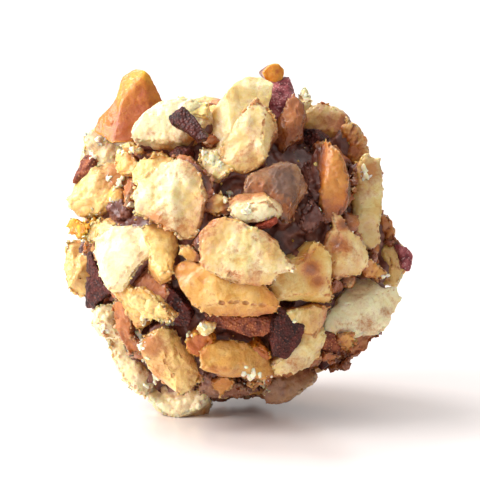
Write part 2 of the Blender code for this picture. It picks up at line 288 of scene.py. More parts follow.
# Some kernels lie under a thin film of chocolate, which greys them; the ones under the ball wear it as
# painted shade.
materials["filmed_and_shaded_nut"] = nut_flesh("kernel greyed by chocolate film and painted shade", "#b08a62", "#866048", "#6a4a3a",
                                    ("#a86a3e", "#8a4a2c", "#6a3424", "#52281d"), 0.28)
# Light glows through a kernel that stands up on its own, and its colours paint that glow: painted rim light,
# yellow, at its edges and a painted orange glow at its heart.
sunlit = nut_flesh("glowing kernel", "#eeb828", "#d48a18", "#b8620e",
                   ("#c87014", "#a85012", "#823c18", "#6a3420"), 0.42, "#a2440a", "#ffdc54")
# Dust from the knife is paler than any kernel, since no fat has reached it.
nut_dust = nut_flesh("nut dust", "#fbf5e2", "#f4e9c8", "#e8d3a0",
                     ("#e0bb78", "#c08a50", "#96603a", "#7a4a30"), 0.6)
print(len(materials) + 2, "kinds of nut")

# %% [markdown]
# ## Papery nut skin
#
# The skin that rubs off an almond is dry, dark red-brown and thin, with rows of tiny raised dots where the
# kernel's fibres end. A pattern of cells 0.3 mm across gives the dots: each cell's middle is raised, and
# painted paler as the highlight that its tip catches.

# %% Nut skin material


def papery_skin(name, dark, middle, pale, dot):
    """A skin that is blotched with three colours, and the painted highlight on its dots."""
    material, tree, place = new_material(name)
    dots = add_node(tree, "ShaderNodeTexVoronoi",
                    {"Vector": place, "Scale": per_metre(0.3), "Randomness": 0.85})
    blotch = add_node(tree, "ShaderNodeTexNoise", {"Vector": place, "Scale": per_metre(0.9), "Detail": 4})
    ground = add_node(tree, "ShaderNodeValToRGB", {"Fac": blotch.outputs["Fac"]},
                      stops=((0.35, dark), (0.5, middle), (0.68, pale)))
    # The dots' paler colour is a painted highlight on their tips.
    dot_glint_share = add_node(tree, "ShaderNodeMapRange", {"Value": dots.outputs["Distance"], "From Min": 0.14,
                                                   "From Max": 0.34, "To Min": 0.8, "To Max": 0.0})
    colour = add_node(tree, "ShaderNodeMix",
                      {0: dot_glint_share.outputs[0], 6: ground.outputs["Color"], 7: linear(dot)}, data_type="RGBA")
    bump = add_node(tree, "ShaderNodeBump", {"Height": dots.outputs["Distance"], "Strength": 1.0,
                                             "Distance": 0.16 * MM}, invert=True)
    shader = add_node(tree, "ShaderNodeBsdfPrincipled",
                      {"Base Color": colour.outputs[2], "Roughness": 0.42, "Specular IOR Level": 0.28,
                       "Subsurface Weight": 0.1, "Subsurface Radius": (1.0, 0.4, 0.3),
                       "Subsurface Scale": 0.5 * MM,
                       "Normal": bump.outputs["Normal"]})
    add_node(tree, "ShaderNodeOutputMaterial", {"Surface": shader.outputs[0]})
    return material


materials["nut_skin"] = papery_skin("papery nut skin", "#280d0b", "#421812", "#5e231c", "#824436")
materials["red_skin"] = papery_skin("young red skin", "#7a2e20", "#953c28", "#a84e34", "#b06444")
materials["purple_skin"] = papery_skin("crinkled purple skin", "#6a2a30", "#9a4c50", "#bd7575", "#d9a5a0")
materials["fibrous_skin"] = papery_skin("fibrous brown skin", "#5e2c1e", "#8a4730", "#aa6238", "#c98a5a")
SKINS = ("nut_skin", "red_skin", "purple_skin", "fibrous_skin")
print(len(SKINS), "kinds of skin")

# %% [markdown]
# ## Soft chocolate
#
# The filling is milk chocolate that was still soft when the nuts went on. It is dark and reddish, nearly
# smooth, and wet-looking, with a skin of fat that gives sharp small highlights. Air bubbles and fingers
# left it lumpy, which is real relief on the mesh, and the material adds only a fine ripple.

# %% Chocolate material


def soft_chocolate():
    """Milk chocolate, smeared with lighter and darker streaks."""
    material, tree, place = new_material("soft milk chocolate")
    smear = add_node(tree, "ShaderNodeTexNoise",
                     {"Vector": place, "Scale": per_metre(1.8), "Detail": 5, "Distortion": 0.8})
    colour = add_node(tree, "ShaderNodeValToRGB", {"Fac": smear.outputs["Fac"]},
                      stops=((0.3, "#4c241a"), (0.5, "#6c392c"), (0.68, "#96604e")))
    ripple = add_node(tree, "ShaderNodeTexNoise", {"Vector": place, "Scale": per_metre(0.35), "Detail": 3})
    bump = add_node(tree, "ShaderNodeBump", {"Height": ripple.outputs["Fac"], "Strength": 0.9,
                                             "Distance": 0.12 * MM})
    shader = add_node(tree, "ShaderNodeBsdfPrincipled",
                      {"Base Color": colour.outputs["Color"], "Roughness": 0.36, "IOR": 1.47,
                       "Subsurface Weight": 0.1, "Subsurface Radius": (1.0, 0.35, 0.25),
                       "Subsurface Scale": 0.6 * MM, "Coat Weight": 0.3, "Coat Roughness": 0.1,
                       "Normal": bump.outputs["Normal"]})
    add_node(tree, "ShaderNodeOutputMaterial", {"Surface": shader.outputs[0]})
    return material


materials["milk_chocolate"] = soft_chocolate()
print(len(materials), "named materials")

# %% [markdown]
# ## Helpers for modelling
#
# An operator works on whatever is selected, so each step first selects one object alone. A texture in a
# Displace modifier pushes the surface in and out by real millimetres, and is applied, so the relief is in
# the mesh itself.

# %% Modelling helpers


def alone(piece):
    """Selects one object and nothing else."""
    bpy.ops.object.select_all(action="DESELECT")
    piece.select_set(True)
    bpy.context.view_layer.objects.active = piece


def link(name, mesh):
    """A new object in the scene, selected alone."""
    piece = bpy.data.objects.new(name, mesh)
    bpy.context.scene.collection.objects.link(piece)
    alone(piece)
    return piece


def break_off(piece, point, outward):
    """Snaps off everything past a flat break through that point, on the side that outward looks to."""
    alone(piece)
    bpy.ops.object.mode_set(mode="EDIT")
    bpy.ops.mesh.select_all(action="SELECT")
    bpy.ops.mesh.bisect(plane_co=point, plane_no=outward, use_fill=True, clear_outer=True)
    bpy.ops.object.mode_set(mode="OBJECT")


def tree_of(*pieces):
    """A search tree over some pieces' faces."""
    points, polygons = [], []
    for piece in pieces:
        first = len(points)
        points += [vertex.co for vertex in piece.data.vertices]
        polygons += [[first + index for index in polygon.vertices] for polygon in piece.data.polygons]
    return BVHTree.FromPolygons(points, polygons)


def relief(name, kind, size, **settings):
    """A texture for Displace whose features are that many millimetres across."""
    texture = bpy.data.textures.new(name, kind)
    texture.noise_scale = size * MM
    for key, value in settings.items():
        setattr(texture, key, value)
    return texture


def skin_over(piece, voxel, rounds):
    """Gives a piece one even skin of small faces, and softens its edges by that many rounds of smoothing."""
    skin = piece.modifiers.new("even skin", "REMESH")
    skin.mode = "VOXEL"
    skin.voxel_size = voxel * MM
    soften = piece.modifiers.new("soften", "SMOOTH")
    soften.factor = 0.4
    soften.iterations = rounds


def push(piece, texture, height, middle=0.5, where=""):
    """Raises and sinks the surface by a texture, by that many millimetres between its dark and its light."""
    moved = piece.modifiers.new(texture.name, "DISPLACE")
    moved.texture = texture
    moved.strength = height * MM
    moved.mid_level = middle
    moved.vertex_group = where
    return moved


def apply_all(piece):
    """Applies every modifier, top first."""
    alone(piece)
    for modifier in list(piece.modifiers):
        bpy.ops.object.modifier_apply(modifier=modifier.name)
    bpy.ops.object.shade_smooth()


swell = relief("swell", "CLOUDS", 3.0, noise_depth=1)
scallop = relief("scallops of a break", "VORONOI", 2.4, distance_metric="DISTANCE")
nibble = relief("nibbled edges", "CLOUDS", 0.45, noise_depth=2)
crumble = relief("crumbly flesh", "CLOUDS", 0.5, noise_depth=3)
tear = relief("torn flakes", "CLOUDS", 1.5, noise_depth=2, noise_type="HARD_NOISE")
wrinkle = relief("wrinkles of a skin", "CLOUDS", 0.9, noise_depth=2)
layers = relief("layers of a kernel", "WOOD", 0.7, wood_type="BANDNOISE", turbulence=12 * MM)
# The layers of each kernel run their own way, which this empty gives them.
grain_way = link("way of the grain", None)
GRAIN_SCALE = 0.12
grain_way.scale = (GRAIN_SCALE,) * 3
print("seven kinds of relief")

# %% [markdown]
# ## The outlines of the front pieces
#
# A knife leaves each kernel with an outline of its own, and the outline is what the eye knows a shard by.
# So every piece on the front is drawn as the corners of its front face, in millimetres right of and above
# the ball's middle. After the corners come its ridges. Each ridge is a point on the face, the direction in
# which the break falls away from there (0 is right, 90 is up) and how many degrees steeper than the face it
# is.

# %% Outlines and ridges of the nuts in front
SHARDS = {
    "golden_spire": ([(-9.9, 18.1), (-8.5, 17.5), (-7.9, 16.5), (-7.2, 15.0), (-7.4, 13.8), (-8.6, 12.2),
        (-10.2, 11.2), (-12.0, 11.0), (-13.9, 12.2), (-13.4, 13.3), (-12.1, 14.3), (-11.4, 15.4),
        (-11.2, 16.6), (-10.9, 17.5)], [(-8.5, 15.4, 8, 40), (-11.7, 14.0, 142, 34),
        (-10.6, 16.4, 168, 30)]),
    "top_slab": ([(-10.0, 11.7), (-8.4, 13.6), (-7.3, 14.4), (-5.6, 14.7), (-3.1, 14.5), (-2.3, 13.2),
        (-2.3, 11.4), (-3.4, 11.0), (-4.2, 10.3), (-4.7, 9.7), (-6.5, 9.6), (-9.0, 9.9), (-9.9, 10.9)],
        [(-7.0, 11.0, -98, 58), (-4.6, 11.3, -40, 50), (-6.0, 13.5, 95, 30)]),
    "dome": ([(-2.3, 10.0), (-2.2, 11.6), (-1.6, 14.0), (-0.7, 15.2), (0.5, 16.7), (1.8, 17.2), (2.9, 17.1),
        (3.7, 16.4), (3.5, 15.0), (2.8, 12.5), (1.0, 10.8), (-0.8, 10.0), (-1.6, 9.3)],
        [(-0.4, 13.6, 188, 42), (1.6, 16.2, 92, 30)]),
    "standing_flake": ([(2.5, 14.9), (3.2, 14.4), (3.8, 13.4), (4.5, 12.3), (3.9, 11.1), (3.5, 10.5),
        (3.3, 9.2), (2.8, 8.4), (1.3, 7.9), (0.1, 8.1), (-1.3, 8.9), (-1.1, 10.5), (-0.2, 11.1),
        (0.2, 12.2), (1.0, 13.5), (1.9, 14.4)], [(2.9, 10.8, -8, 35), (0.7, 9.4, 222, 28),
        (2.7, 13.7, 60, 22)]),
    "shell_flake": ([(-8.1, 7.4), (-7.1, 8.2), (-5.6, 9.0), (-4.3, 8.7), (-3.3, 7.6), (-2.9, 6.0),
        (-3.1, 4.2), (-3.4, 2.7), (-4.0, 1.6), (-5.3, 1.3), (-6.0, 2.3), (-7.2, 2.5), (-8.1, 3.0),
        (-8.9, 3.4), (-9.9, 3.9), (-9.4, 4.8), (-10.1, 5.6), (-9.6, 6.2), (-9.0, 6.7)],
        [(-7.8, 4.8, 208, 22), (-4.3, 5.6, -12, 26), (-5.4, 8.2, 84, 30)]),
    "top_bead": ([(3.1, 17.7), (3.7, 18.3), (4.4, 18.4), (4.9, 17.9), (4.8, 17.3), (4.1, 16.7),
        (3.5, 17.0)], []),
    "purple_skin": ([(3.5, 16.6), (4.3, 17.0), (5.0, 17.1), (5.4, 17.7), (5.8, 17.1), (6.1, 16.2),
        (6.0, 14.9), (5.6, 14.3), (5.0, 13.4), (4.4, 12.9), (3.9, 13.9), (3.0, 14.9), (3.5, 15.6)],
        [(4.2, 14.8, 200, 35), (5.4, 16.0, 20, 40)]),
    "amber_wedge": ([(5.9, 15.7), (6.9, 14.9), (7.2, 13.8), (6.9, 12.4), (6.6, 11.5), (5.6, 10.6),
        (4.6, 9.7), (4.3, 11.0), (4.3, 12.5), (4.9, 13.7)], [(6.3, 13.4, 20, 42), (5.0, 12.0, 190, 35)]),
    "right_shoulder": ([(6.9, 13.7), (7.7, 14.5), (8.8, 14.8), (10.1, 14.5), (11.2, 13.7), (12.0, 12.6),
        (12.0, 11.3), (10.6, 10.9), (9.1, 11.0), (8.0, 11.8), (7.0, 12.2)], [(9.2, 12.0, -95, 30),
        (10.9, 12.9, 35, 35)]),
    "brown_rim": ([(11.4, 12.9), (12.5, 12.0), (13.2, 11.0), (13.5, 10.0), (13.2, 9.0), (12.2, 7.9),
        (11.0, 7.8), (10.2, 9.0), (9.9, 10.6), (10.8, 11.4)], [(11.6, 10.2, 200, 30),
        (12.6, 10.3, 15, 30)]),
    "right_long": ([(12.9, 9.1), (13.9, 9.3), (14.5, 8.3), (14.5, 6.6), (14.7, 5.4), (14.5, 3.7),
        (14.3, 2.4), (14.5, 1.4), (13.8, 0.5), (12.7, 1.0), (12.0, 2.0), (11.9, 4.0), (11.9, 6.2),
        (12.1, 7.8)], [(12.6, 4.5, 178, 35), (14.0, 4.6, 0, 25)]),
    "right_brown": ([(14.5, 4.0), (15.4, 3.5), (16.0, 2.2), (16.3, 0.8), (15.1, 0.9), (14.3, 1.4),
        (14.2, 2.6)], [(15.1, 2.4, 190, 30)]),
    "right_amber": ([(15.2, 0.8), (16.2, 1.0), (16.8, 0.3), (17.4, -1.2), (17.0, -2.0), (16.3, -3.4),
        (15.2, -3.1), (14.4, -1.8), (14.8, -0.2)], [(15.6, -1.2, 195, 35), (16.4, -1.0, 10, 25)]),
    "right_tip_skin": ([(16.6, 0.4), (17.5, -0.1), (18.0, -1.0), (17.6, -1.7), (17.0, -1.6), (16.8, -0.5)],
        []),
    "crescent": ([(8.5, 10.6), (9.2, 10.8), (10.0, 9.8), (10.5, 8.7), (10.9, 7.4), (10.9, 5.4), (10.7, 4.4),
        (9.7, 3.4), (8.9, 3.1), (8.6, 4.4), (8.7, 6.4), (8.3, 8.2), (8.1, 9.6)], [(9.2, 7.0, 176, 38),
        (10.1, 7.0, 4, 28)]),
    "shaded_slab": ([(1.8, 7.9), (3.6, 8.5), (5.4, 8.7), (6.4, 8.4), (6.8, 7.6), (7.4, 6.2), (6.7, 4.9),
        (6.2, 3.3), (5.1, 3.0), (4.5, 4.0), (2.4, 5.3), (1.2, 5.7), (1.5, 6.9)], [(6.2, 6.2, -20, 50),
        (3.6, 5.9, 232, 26), (4.6, 8.0, 88, 35)]),
    "red_edged_chip": ([(-0.2, 3.7), (0.6, 4.2), (1.8, 4.4), (3.6, 4.7), (4.2, 4.2), (4.9, 3.5), (4.6, 2.9),
        (3.6, 2.5), (1.9, 2.3), (0.6, 2.9)], [(2.4, 3.0, -82, 55), (2.0, 4.0, 98, 25)]),
    "middle_flake": ([(-2.9, 1.6), (-2.1, 2.8), (-1.1, 3.1), (0.4, 2.8), (1.8, 2.1), (3.4, 1.5), (4.3, 0.7),
        (5.0, -0.5), (5.9, -1.6), (4.4, -2.2), (4.0, -2.9), (3.0, -3.3), (1.4, -3.1), (0.0, -3.2),
        (-1.4, -2.3), (-2.9, -1.4), (-3.2, 0.1)], [(3.2, 0.3, 48, 28), (1.6, -2.2, -88, 34),
        (-2.2, 0.6, 172, 34), (-0.4, 2.2, 105, 24)]),
    "long_slab": ([(-5.9, -1.6), (-4.9, -0.9), (-3.6, -1.2), (-2.1, -1.8), (-0.3, -2.6), (2.7, -3.2),
        (4.0, -4.1), (4.5, -5.0), (4.3, -6.1), (2.6, -6.4), (0.2, -6.2), (-2.2, -6.3), (-3.8, -5.1),
        (-4.8, -3.9), (-5.5, -2.7)], [(-0.4, -5.1, -86, 42), (-3.8, -3.4, 225, 26), (-1.4, -2.7, 72, 22)]),
    "stained_plate": ([(8.8, 0.6), (8.0, 0.4), (6.7, -0.7), (5.5, -1.2), (4.4, -2.3), (3.7, -3.6),
        (4.4, -4.9), (6.6, -4.9), (8.3, -5.2), (10.0, -5.4), (10.1, -4.6), (9.8, -3.2), (9.6, -1.4),
        (9.3, 0.0)], [(7.0, -4.3, -88, 50), (5.2, -3.0, 212, 20), (9.3, -2.4, 0, 40)]),
    "right_flake": ([(10.1, 3.9), (10.8, 3.2), (11.6, 1.9), (12.6, 0.8), (13.3, -0.3), (13.1, -1.3),
        (12.4, -2.1), (11.1, -2.5), (10.1, -2.6), (9.6, -1.6), (9.4, 0.4), (9.8, 1.6), (10.3, 2.2)],
        [(10.6, 0.6, 172, 40), (11.7, -1.4, -78, 24), (12.2, 0.2, 38, 30)]),
    "right_low_slab": ([(13.1, -1.8), (14.0, -2.8), (14.8, -3.7), (16.2, -3.4), (16.5, -4.4), (16.0, -5.6),
        (15.2, -7.2), (14.3, -7.8), (13.1, -7.6), (11.1, -8.2), (10.2, -8.5), (9.1, -7.7), (9.2, -6.4),
        (10.0, -5.6), (10.7, -4.6), (11.8, -2.8)], [(12.6, -4.9, 108, 34), (12.9, -6.6, -74, 36)]),
    "lower_right_brown": ([(10.3, -8.2), (12.0, -7.8), (14.2, -7.6), (14.6, -8.2), (13.5, -8.9),
        (13.1, -9.7), (11.8, -10.5), (10.6, -11.7), (9.8, -12.2), (8.1, -12.0), (7.4, -11.4), (8.3, -10.4),
        (8.7, -8.6)], [(10.8, -9.6, 215, 34), (12.0, -9.2, -20, 30), (10.6, -9.0, 92, 30)]),
    "jagged_chip": ([(5.4, -6.0), (6.7, -5.7), (8.3, -5.3), (9.7, -5.6), (9.5, -6.5), (9.0, -7.7),
        (8.6, -8.3), (7.3, -8.2), (6.9, -7.5), (6.4, -7.4), (6.2, -6.9), (5.7, -7.0)],
        [(8.6, -6.9, -15, 40), (6.6, -6.9, 225, 25)]),
    "low_crescent": ([(6.7, -8.0), (8.9, -8.0), (8.8, -9.1), (8.6, -10.2), (8.0, -11.0), (6.9, -11.5),
        (5.4, -11.8), (3.7, -12.5), (3.9, -11.6), (5.0, -10.9), (5.9, -9.9), (6.3, -8.9)],
        [(7.8, -10.1, -45, 38), (6.6, -9.9, 150, 24)]),
    "dotted_skin": ([(4.7, -5.6), (5.6, -6.4), (6.0, -7.2), (6.7, -7.4), (6.5, -8.7), (6.0, -9.8),
        (5.2, -10.4), (4.2, -10.0), (3.9, -9.0), (4.0, -7.6), (4.3, -6.4)], [(4.7, -8.4, 180, 20)]),
    "lower_slab": ([(-3.0, -9.9), (-2.0, -8.9), (-0.4, -8.7), (1.4, -8.9), (2.6, -9.7), (3.6, -10.6),
        (4.5, -12.0), (3.2, -12.3), (1.2, -12.2), (-0.5, -12.1), (-1.8, -11.7), (-2.9, -11.3)],
        [(0.0, -11.2, -86, 34), (-0.4, -9.5, 92, 20)]),
    "golden_low": ([(-8.4, -8.4), (-6.8, -7.5), (-5.5, -7.8), (-5.0, -8.9), (-4.1, -9.9), (-3.1, -11.1),
        (-2.9, -12.6), (-3.9, -13.8), (-4.8, -14.2), (-5.8, -13.7), (-7.2, -12.5), (-8.0, -11.5),
        (-8.5, -10.3), (-8.7, -9.2)], [(-6.8, -10.4, 204, 40), (-4.7, -10.9, 32, 34),
        (-5.0, -13.2, -70, 30)]),
    "left_foot": ([(-7.9, -13.6), (-6.8, -13.3), (-5.5, -13.7), (-4.0, -13.8), (-3.0, -13.4), (-2.6, -14.4),
        (-3.5, -15.2), (-4.9, -15.8), (-6.0, -16.1), (-7.2, -15.9), (-8.4, -14.5)],
        [(-5.6, -14.9, -90, 30)]),
    "left_bottom_long": ([(-12.8, -7.4), (-11.5, -7.2), (-9.9, -8.2), (-9.0, -9.6), (-8.3, -11.1),
        (-7.6, -12.3), (-7.8, -13.6), (-8.6, -14.3), (-9.5, -13.9), (-10.8, -12.7), (-11.5, -11.3),
        (-12.2, -9.8)], [(-9.6, -10.9, 35, 42), (-10.9, -11.0, 215, 24)]),
    "left_low": ([(-13.3, -5.3), (-11.7, -5.4), (-11.3, -4.8), (-10.7, -5.1), (-10.5, -6.7), (-10.6, -7.9),
        (-11.5, -8.5), (-12.6, -8.1), (-13.4, -6.9)], [(-11.6, -6.5, 10, 36), (-12.4, -7.3, 240, 30)]),
    "ragged_flake": ([(-11.6, -4.2), (-10.5, -3.5), (-9.8, -4.2), (-8.6, -4.4), (-7.2, -5.1), (-5.9, -6.5),
        (-7.2, -7.1), (-8.4, -6.8), (-9.2, -6.2), (-9.3, -7.5), (-10.1, -8.5), (-10.7, -7.8),
        (-10.8, -6.0)], [(-8.4, -5.9, -118, 30), (-9.4, -4.8, 66, 20)]),
    "left_block": ([(-13.7, 0.8), (-13.2, 1.6), (-12.0, 2.1), (-10.2, 2.4), (-8.8, 2.3), (-7.8, 1.5),
        (-7.7, 0.5), (-7.9, -0.1), (-9.2, -1.6), (-10.2, -2.8), (-11.1, -4.0), (-11.9, -4.1), (-12.7, -3.1),
        (-13.1, -1.4), (-13.7, 0.0)], [(-12.6, -0.6, 188, 34), (-9.3, -0.6, -38, 30),
        (-10.6, 1.6, 96, 40)]),
    "left_small_block": ([(-8.7, 2.3), (-7.9, 2.9), (-6.7, 2.7), (-5.6, 2.0), (-5.4, 0.9), (-5.7, -0.2),
        (-5.9, -1.9), (-6.8, -2.2), (-8.0, -0.9), (-7.9, 0.5)], [(-6.3, 0.3, 0, 34), (-7.0, 1.9, 80, 34)]),
    "left_rim_low": ([(-16.6, 1.0), (-14.8, 1.2), (-13.5, 0.9), (-13.3, -0.3), (-13.1, -1.4), (-13.8, -2.2),
        (-14.3, -3.5), (-14.9, -4.4), (-15.6, -4.5), (-16.4, -3.6), (-16.9, -2.1), (-16.8, -0.6)],
        [(-15.0, -1.2, -15, 24), (-16.0, -1.5, 185, 25)]),
    "left_rim_high": ([(-16.3, 5.2), (-16.0, 6.1), (-15.4, 7.2), (-14.4, 8.0), (-13.1, 8.6), (-11.2, 8.9),
        (-9.8, 8.3), (-9.8, 6.9), (-10.4, 5.7), (-11.7, 4.9), (-13.5, 4.0), (-14.9, 3.5), (-15.9, 4.1)],
        [(-12.3, 6.4, -20, 28), (-14.6, 6.2, 150, 24), (-13.2, 5.0, -100, 32)]),
    "left_shoulder": ([(-14.7, 11.4), (-13.9, 12.1), (-13.0, 11.9), (-11.7, 11.7), (-10.7, 11.3),
        (-10.2, 10.6), (-9.4, 9.9), (-10.9, 9.5), (-11.2, 8.8), (-12.2, 8.3), (-13.5, 8.5), (-14.4, 9.5),
        (-14.9, 10.6)], [(-12.2, 9.6, -70, 34), (-11.8, 11.0, 60, 24)]),
    "low_right": ([(4.6, -11.9), (6.5, -11.8), (8.1, -12.0), (7.9, -12.7), (6.7, -13.8), (5.4, -14.7),
        (4.1, -15.2), (3.3, -15.2), (3.2, -14.4), (3.9, -12.9)], [(5.2, -13.2, 205, 26)]),
}
# Pieces that only the lesson adds: the finish, how far from the ball's middle the face lies, the thickness,
# and the corners, in millimetres.
CHIPS = {
    "skin_on_top": ("nut_skin", 18.2, 0.9, [(-6.2, 13.2), (-5.7, 13.7), (-4.8, 14.0), (-4.3, 13.3),
        (-3.4, 12.5), (-2.5, 11.7), (-2.7, 11.1), (-3.4, 11.0), (-4.4, 11.8), (-5.3, 12.5), (-6.0, 12.6)]),
    "crumbly_bit": ("ivory_nut", 15.6, 2.6, [(-3.3, 10.2), (-2.4, 10.5), (-1.0, 9.3), (0.2, 8.4),
        (-0.5, 7.6), (-1.5, 7.0), (-2.6, 7.6), (-3.2, 8.8)]),
    "little_rim": ("ivory_nut", 15.2, 1.8, [(-3.0, 5.1), (-2.2, 5.4), (-1.3, 5.7), (-0.6, 5.2), (0.8, 4.6),
        (0.2, 3.9), (-0.7, 3.4), (-1.7, 3.6), (-2.8, 4.0)]),
    "gold_lobe": ("golden_nut", 16.2, 2.2, [(-9.8, 8.3), (-8.4, 9.1), (-6.9, 9.6), (-5.6, 9.5), (-6.8, 8.0),
        (-7.4, 7.0), (-8.6, 6.3), (-9.8, 6.8)]),
    "brown_band": ("amber_nut", 16.0, 2.4, [(-5.9, 9.6), (-4.3, 9.4), (-2.9, 8.4), (-2.0, 7.0), (-1.9, 5.6),
        (-3.2, 5.3), (-3.8, 7.2)]),
    "small_wedge": ("golden_nut", 15.8, 2.0, [(-5.3, 0.6), (-4.1, 0.4), (-2.8, -1.0), (-3.9, -1.3),
        (-5.1, -0.4)]),
    "brown_side": ("amber_nut", 15.6, 2.2, [(-4.0, 0.9), (-3.3, 2.0), (-2.2, 2.8), (-1.9, 1.8), (-2.6, 0.2),
        (-3.4, -0.2)]),
    "fibrous_brown": ("fibrous_skin", 15.1, 1.8, [(-2.6, -6.4), (0.6, -6.5), (3.9, -6.6), (4.0, -7.4),
        (2.8, -8.3), (1.4, -8.1), (0.0, -7.6), (-1.6, -7.2)]),
    "orange_small": ("amber_nut", 16.0, 2.0, [(-4.5, -8.6), (-3.4, -8.0), (-2.1, -8.2), (-1.9, -8.8),
        (-2.7, -9.9), (-3.6, -10.3), (-4.4, -9.7)]),
    "orange_low": ("amber_nut", 15.7, 1.8, [(1.5, -9.4), (2.7, -9.1), (3.5, -9.9), (3.7, -11.0),
        (2.7, -11.3), (1.9, -10.4)]),
    "frost_chip": ("ivory_nut", 16.2, 0.8, [(-3.4, -7.5), (-2.6, -7.0), (-1.8, -7.3), (-2.0, -7.8),
        (-2.9, -8.0)]),
    "orange_left": ("amber_nut", 15.8, 1.8, [(-8.5, -1.2), (-7.6, -1.4), (-6.7, -2.2), (-6.4, -4.0),
        (-6.7, -5.3), (-7.7, -5.1), (-8.4, -4.0), (-10.2, -3.6), (-9.4, -2.3)]),
    "torn_flake": ("golden_nut", 16.6, 1.0, [(-10.2, -3.9), (-8.8, -3.6), (-7.6, -4.6), (-6.6, -5.9),
        (-6.2, -7.0), (-7.4, -6.8), (-8.0, -5.8), (-9.0, -5.6), (-9.8, -4.8)]),
    "skin_middle_left": ("nut_skin", 15.3, 1.2, [(-6.9, -3.6), (-5.9, -3.9), (-4.9, -5.0), (-4.0, -6.3),
        (-4.6, -7.4), (-5.9, -7.0), (-6.8, -5.4)]),
    "orange_wall": ("amber_nut", 15.8, 1.8, [(-12.0, -5.2), (-10.8, -4.6), (-10.2, -6.2), (-10.0, -8.2),
        (-8.9, -10.0), (-10.0, -10.2), (-11.2, -8.2)]),
    "bit_on_shoulder": ("ivory_nut", 15.6, 1.2, [(6.6, 15.5), (7.1, 16.2), (7.8, 16.0), (7.9, 15.0),
        (7.1, 14.6)]),
    "skin_left": ("nut_skin", 15.6, 1.2, [(-13.6, -1.7), (-13.0, -2.2), (-13.0, -3.1), (-12.1, -4.0),
        (-13.0, -4.6), (-13.6, -5.0), (-13.9, -5.8), (-14.7, -5.5), (-14.6, -4.5), (-14.3, -3.3)]),
    "yellow_bead": ("golden_nut", 16.7, 2.0, [(-16.5, 2.4), (-16.0, 3.2), (-15.1, 3.3), (-14.6, 2.7),
        (-14.6, 1.8), (-15.3, 1.2), (-16.2, 1.6)]),
    "beige_gap": ("ivory_nut", 15.3, 1.8, [(-14.2, 2.8), (-13.1, 3.5), (-11.7, 2.7), (-12.0, 1.9),
        (-13.2, 1.2), (-14.4, 1.0)]),
    "right_wedge": ("golden_nut", 16.3, 1.8, [(13.3, -0.7), (14.4, -1.4), (15.3, -2.2), (14.7, -2.7),
        (13.5, -2.6), (12.9, -1.7)]),
    "coated_chip": ("amber_nut", 15.2, 1.8, [(7.8, 4.9), (8.7, 4.0), (8.9, 3.1), (8.3, 2.1), (7.4, 1.8),
        (6.5, 2.6), (7.0, 3.8)]),
    "coated_strip": ("amber_nut", 14.9, 1.6, [(7.2, 8.9), (8.1, 9.3), (8.3, 8.0), (8.7, 6.4), (8.6, 4.6),
        (7.6, 4.9), (7.5, 6.5)]),
    "crumbly_brown": ("amber_nut", 16.2, 1.6, [(12.0, 7.8), (12.9, 8.3), (13.4, 9.3), (14.4, 8.8),
        (14.5, 7.6), (14.1, 6.2), (12.9, 5.8), (12.0, 6.2)]),
    "red_skin_edge": ("red_skin", 16.7, 0.8, [(4.1, 3.3), (4.3, 2.9), (3.4, 2.4), (2.0, 2.2), (2.4, 2.55)]),
    "beige_behind_chip": ("ivory_nut", 15.4, 1.4, [(1.0, 4.6), (1.6, 5.5), (2.4, 5.3), (3.6, 4.9),
        (3.4, 4.2)]),
    "white_chip_left": ("ivory_nut", 17.2, 1.0, [(-11.3, 10.3), (-10.2, 10.7), (-9.2, 10.2), (-9.3, 9.9),
        (-10.4, 9.9)]),
    "brown_left_gap": ("amber_nut", 14.0, 1.8, [(-12.5, 4.5), (-11.0, 4.9), (-10.3, 4.1), (-10.8, 3.2),
        (-12.0, 3.1)]),
    "left_edge_skin": ("fibrous_skin", 16.2, 0.9, [(-15.6, 7.0), (-14.9, 8.9), (-14.3, 9.7), (-13.9, 8.9),
        (-14.6, 7.9)]),
    "amber_upper_left": ("amber_nut", 15.8, 2.2, [(-11.6, 9.6), (-9.9, 9.8), (-9.4, 8.6), (-10.0, 7.6),
        (-11.4, 7.9)]),
    "frosty_low": ("ivory_nut", 15.7, 1.6, [(0.9, -11.8), (2.6, -11.6), (3.4, -12.2), (2.6, -13.1),
        (1.8, -13.6), (1.0, -12.8)]),
    "golden_sliver": ("golden_nut", 15.9, 1.2, [(-2.2, -13.3), (-1.0, -12.4), (0.2, -12.6), (0.3, -13.2),
        (-1.2, -14.2), (-1.6, -13.6)]),
    "low_brown_gold": ("golden_nut", 17.0, 1.6, [(10.5, -8.3), (11.7, -8.1), (12.1, -9.2), (11.1, -10.1),
        (10.5, -9.4)]),
    "low_brown_orange": ("amber_nut", 16.8, 1.4, [(9.1, -10.1), (10.0, -9.9), (10.5, -10.4), (9.8, -11.0),
        (9.0, -10.9)]),
    "low_brown_skin": ("fibrous_skin", 16.0, 1.4, [(9.0, -7.9), (10.2, -8.4), (10.6, -9.6), (9.6, -10.0),
        (8.8, -9.3)]),
    "top_behind": ("golden_nut", 17.3, 2.2, [(-5.7, 14.3), (-5.5, 15.2), (-4.2, 15.1), (-2.6, 14.4),
        (-2.4, 13.4), (-4.2, 13.4)]),
}
print(len(SHARDS), "outlined nuts,", len(CHIPS), "chips")

# %% [markdown]
# ## From an outline to a block of nut
#
# An outline becomes a block the way a cutter makes one: a flat face with those corners is pushed back
# through the thickness of the piece and drawn in a little at the back. The face is inset and raised,
# because a snapped edge always falls away. Then the breaks are made at the ridges, and a few small chips
# are knocked off the rim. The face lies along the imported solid's own front, which rays cast at that solid
# find.

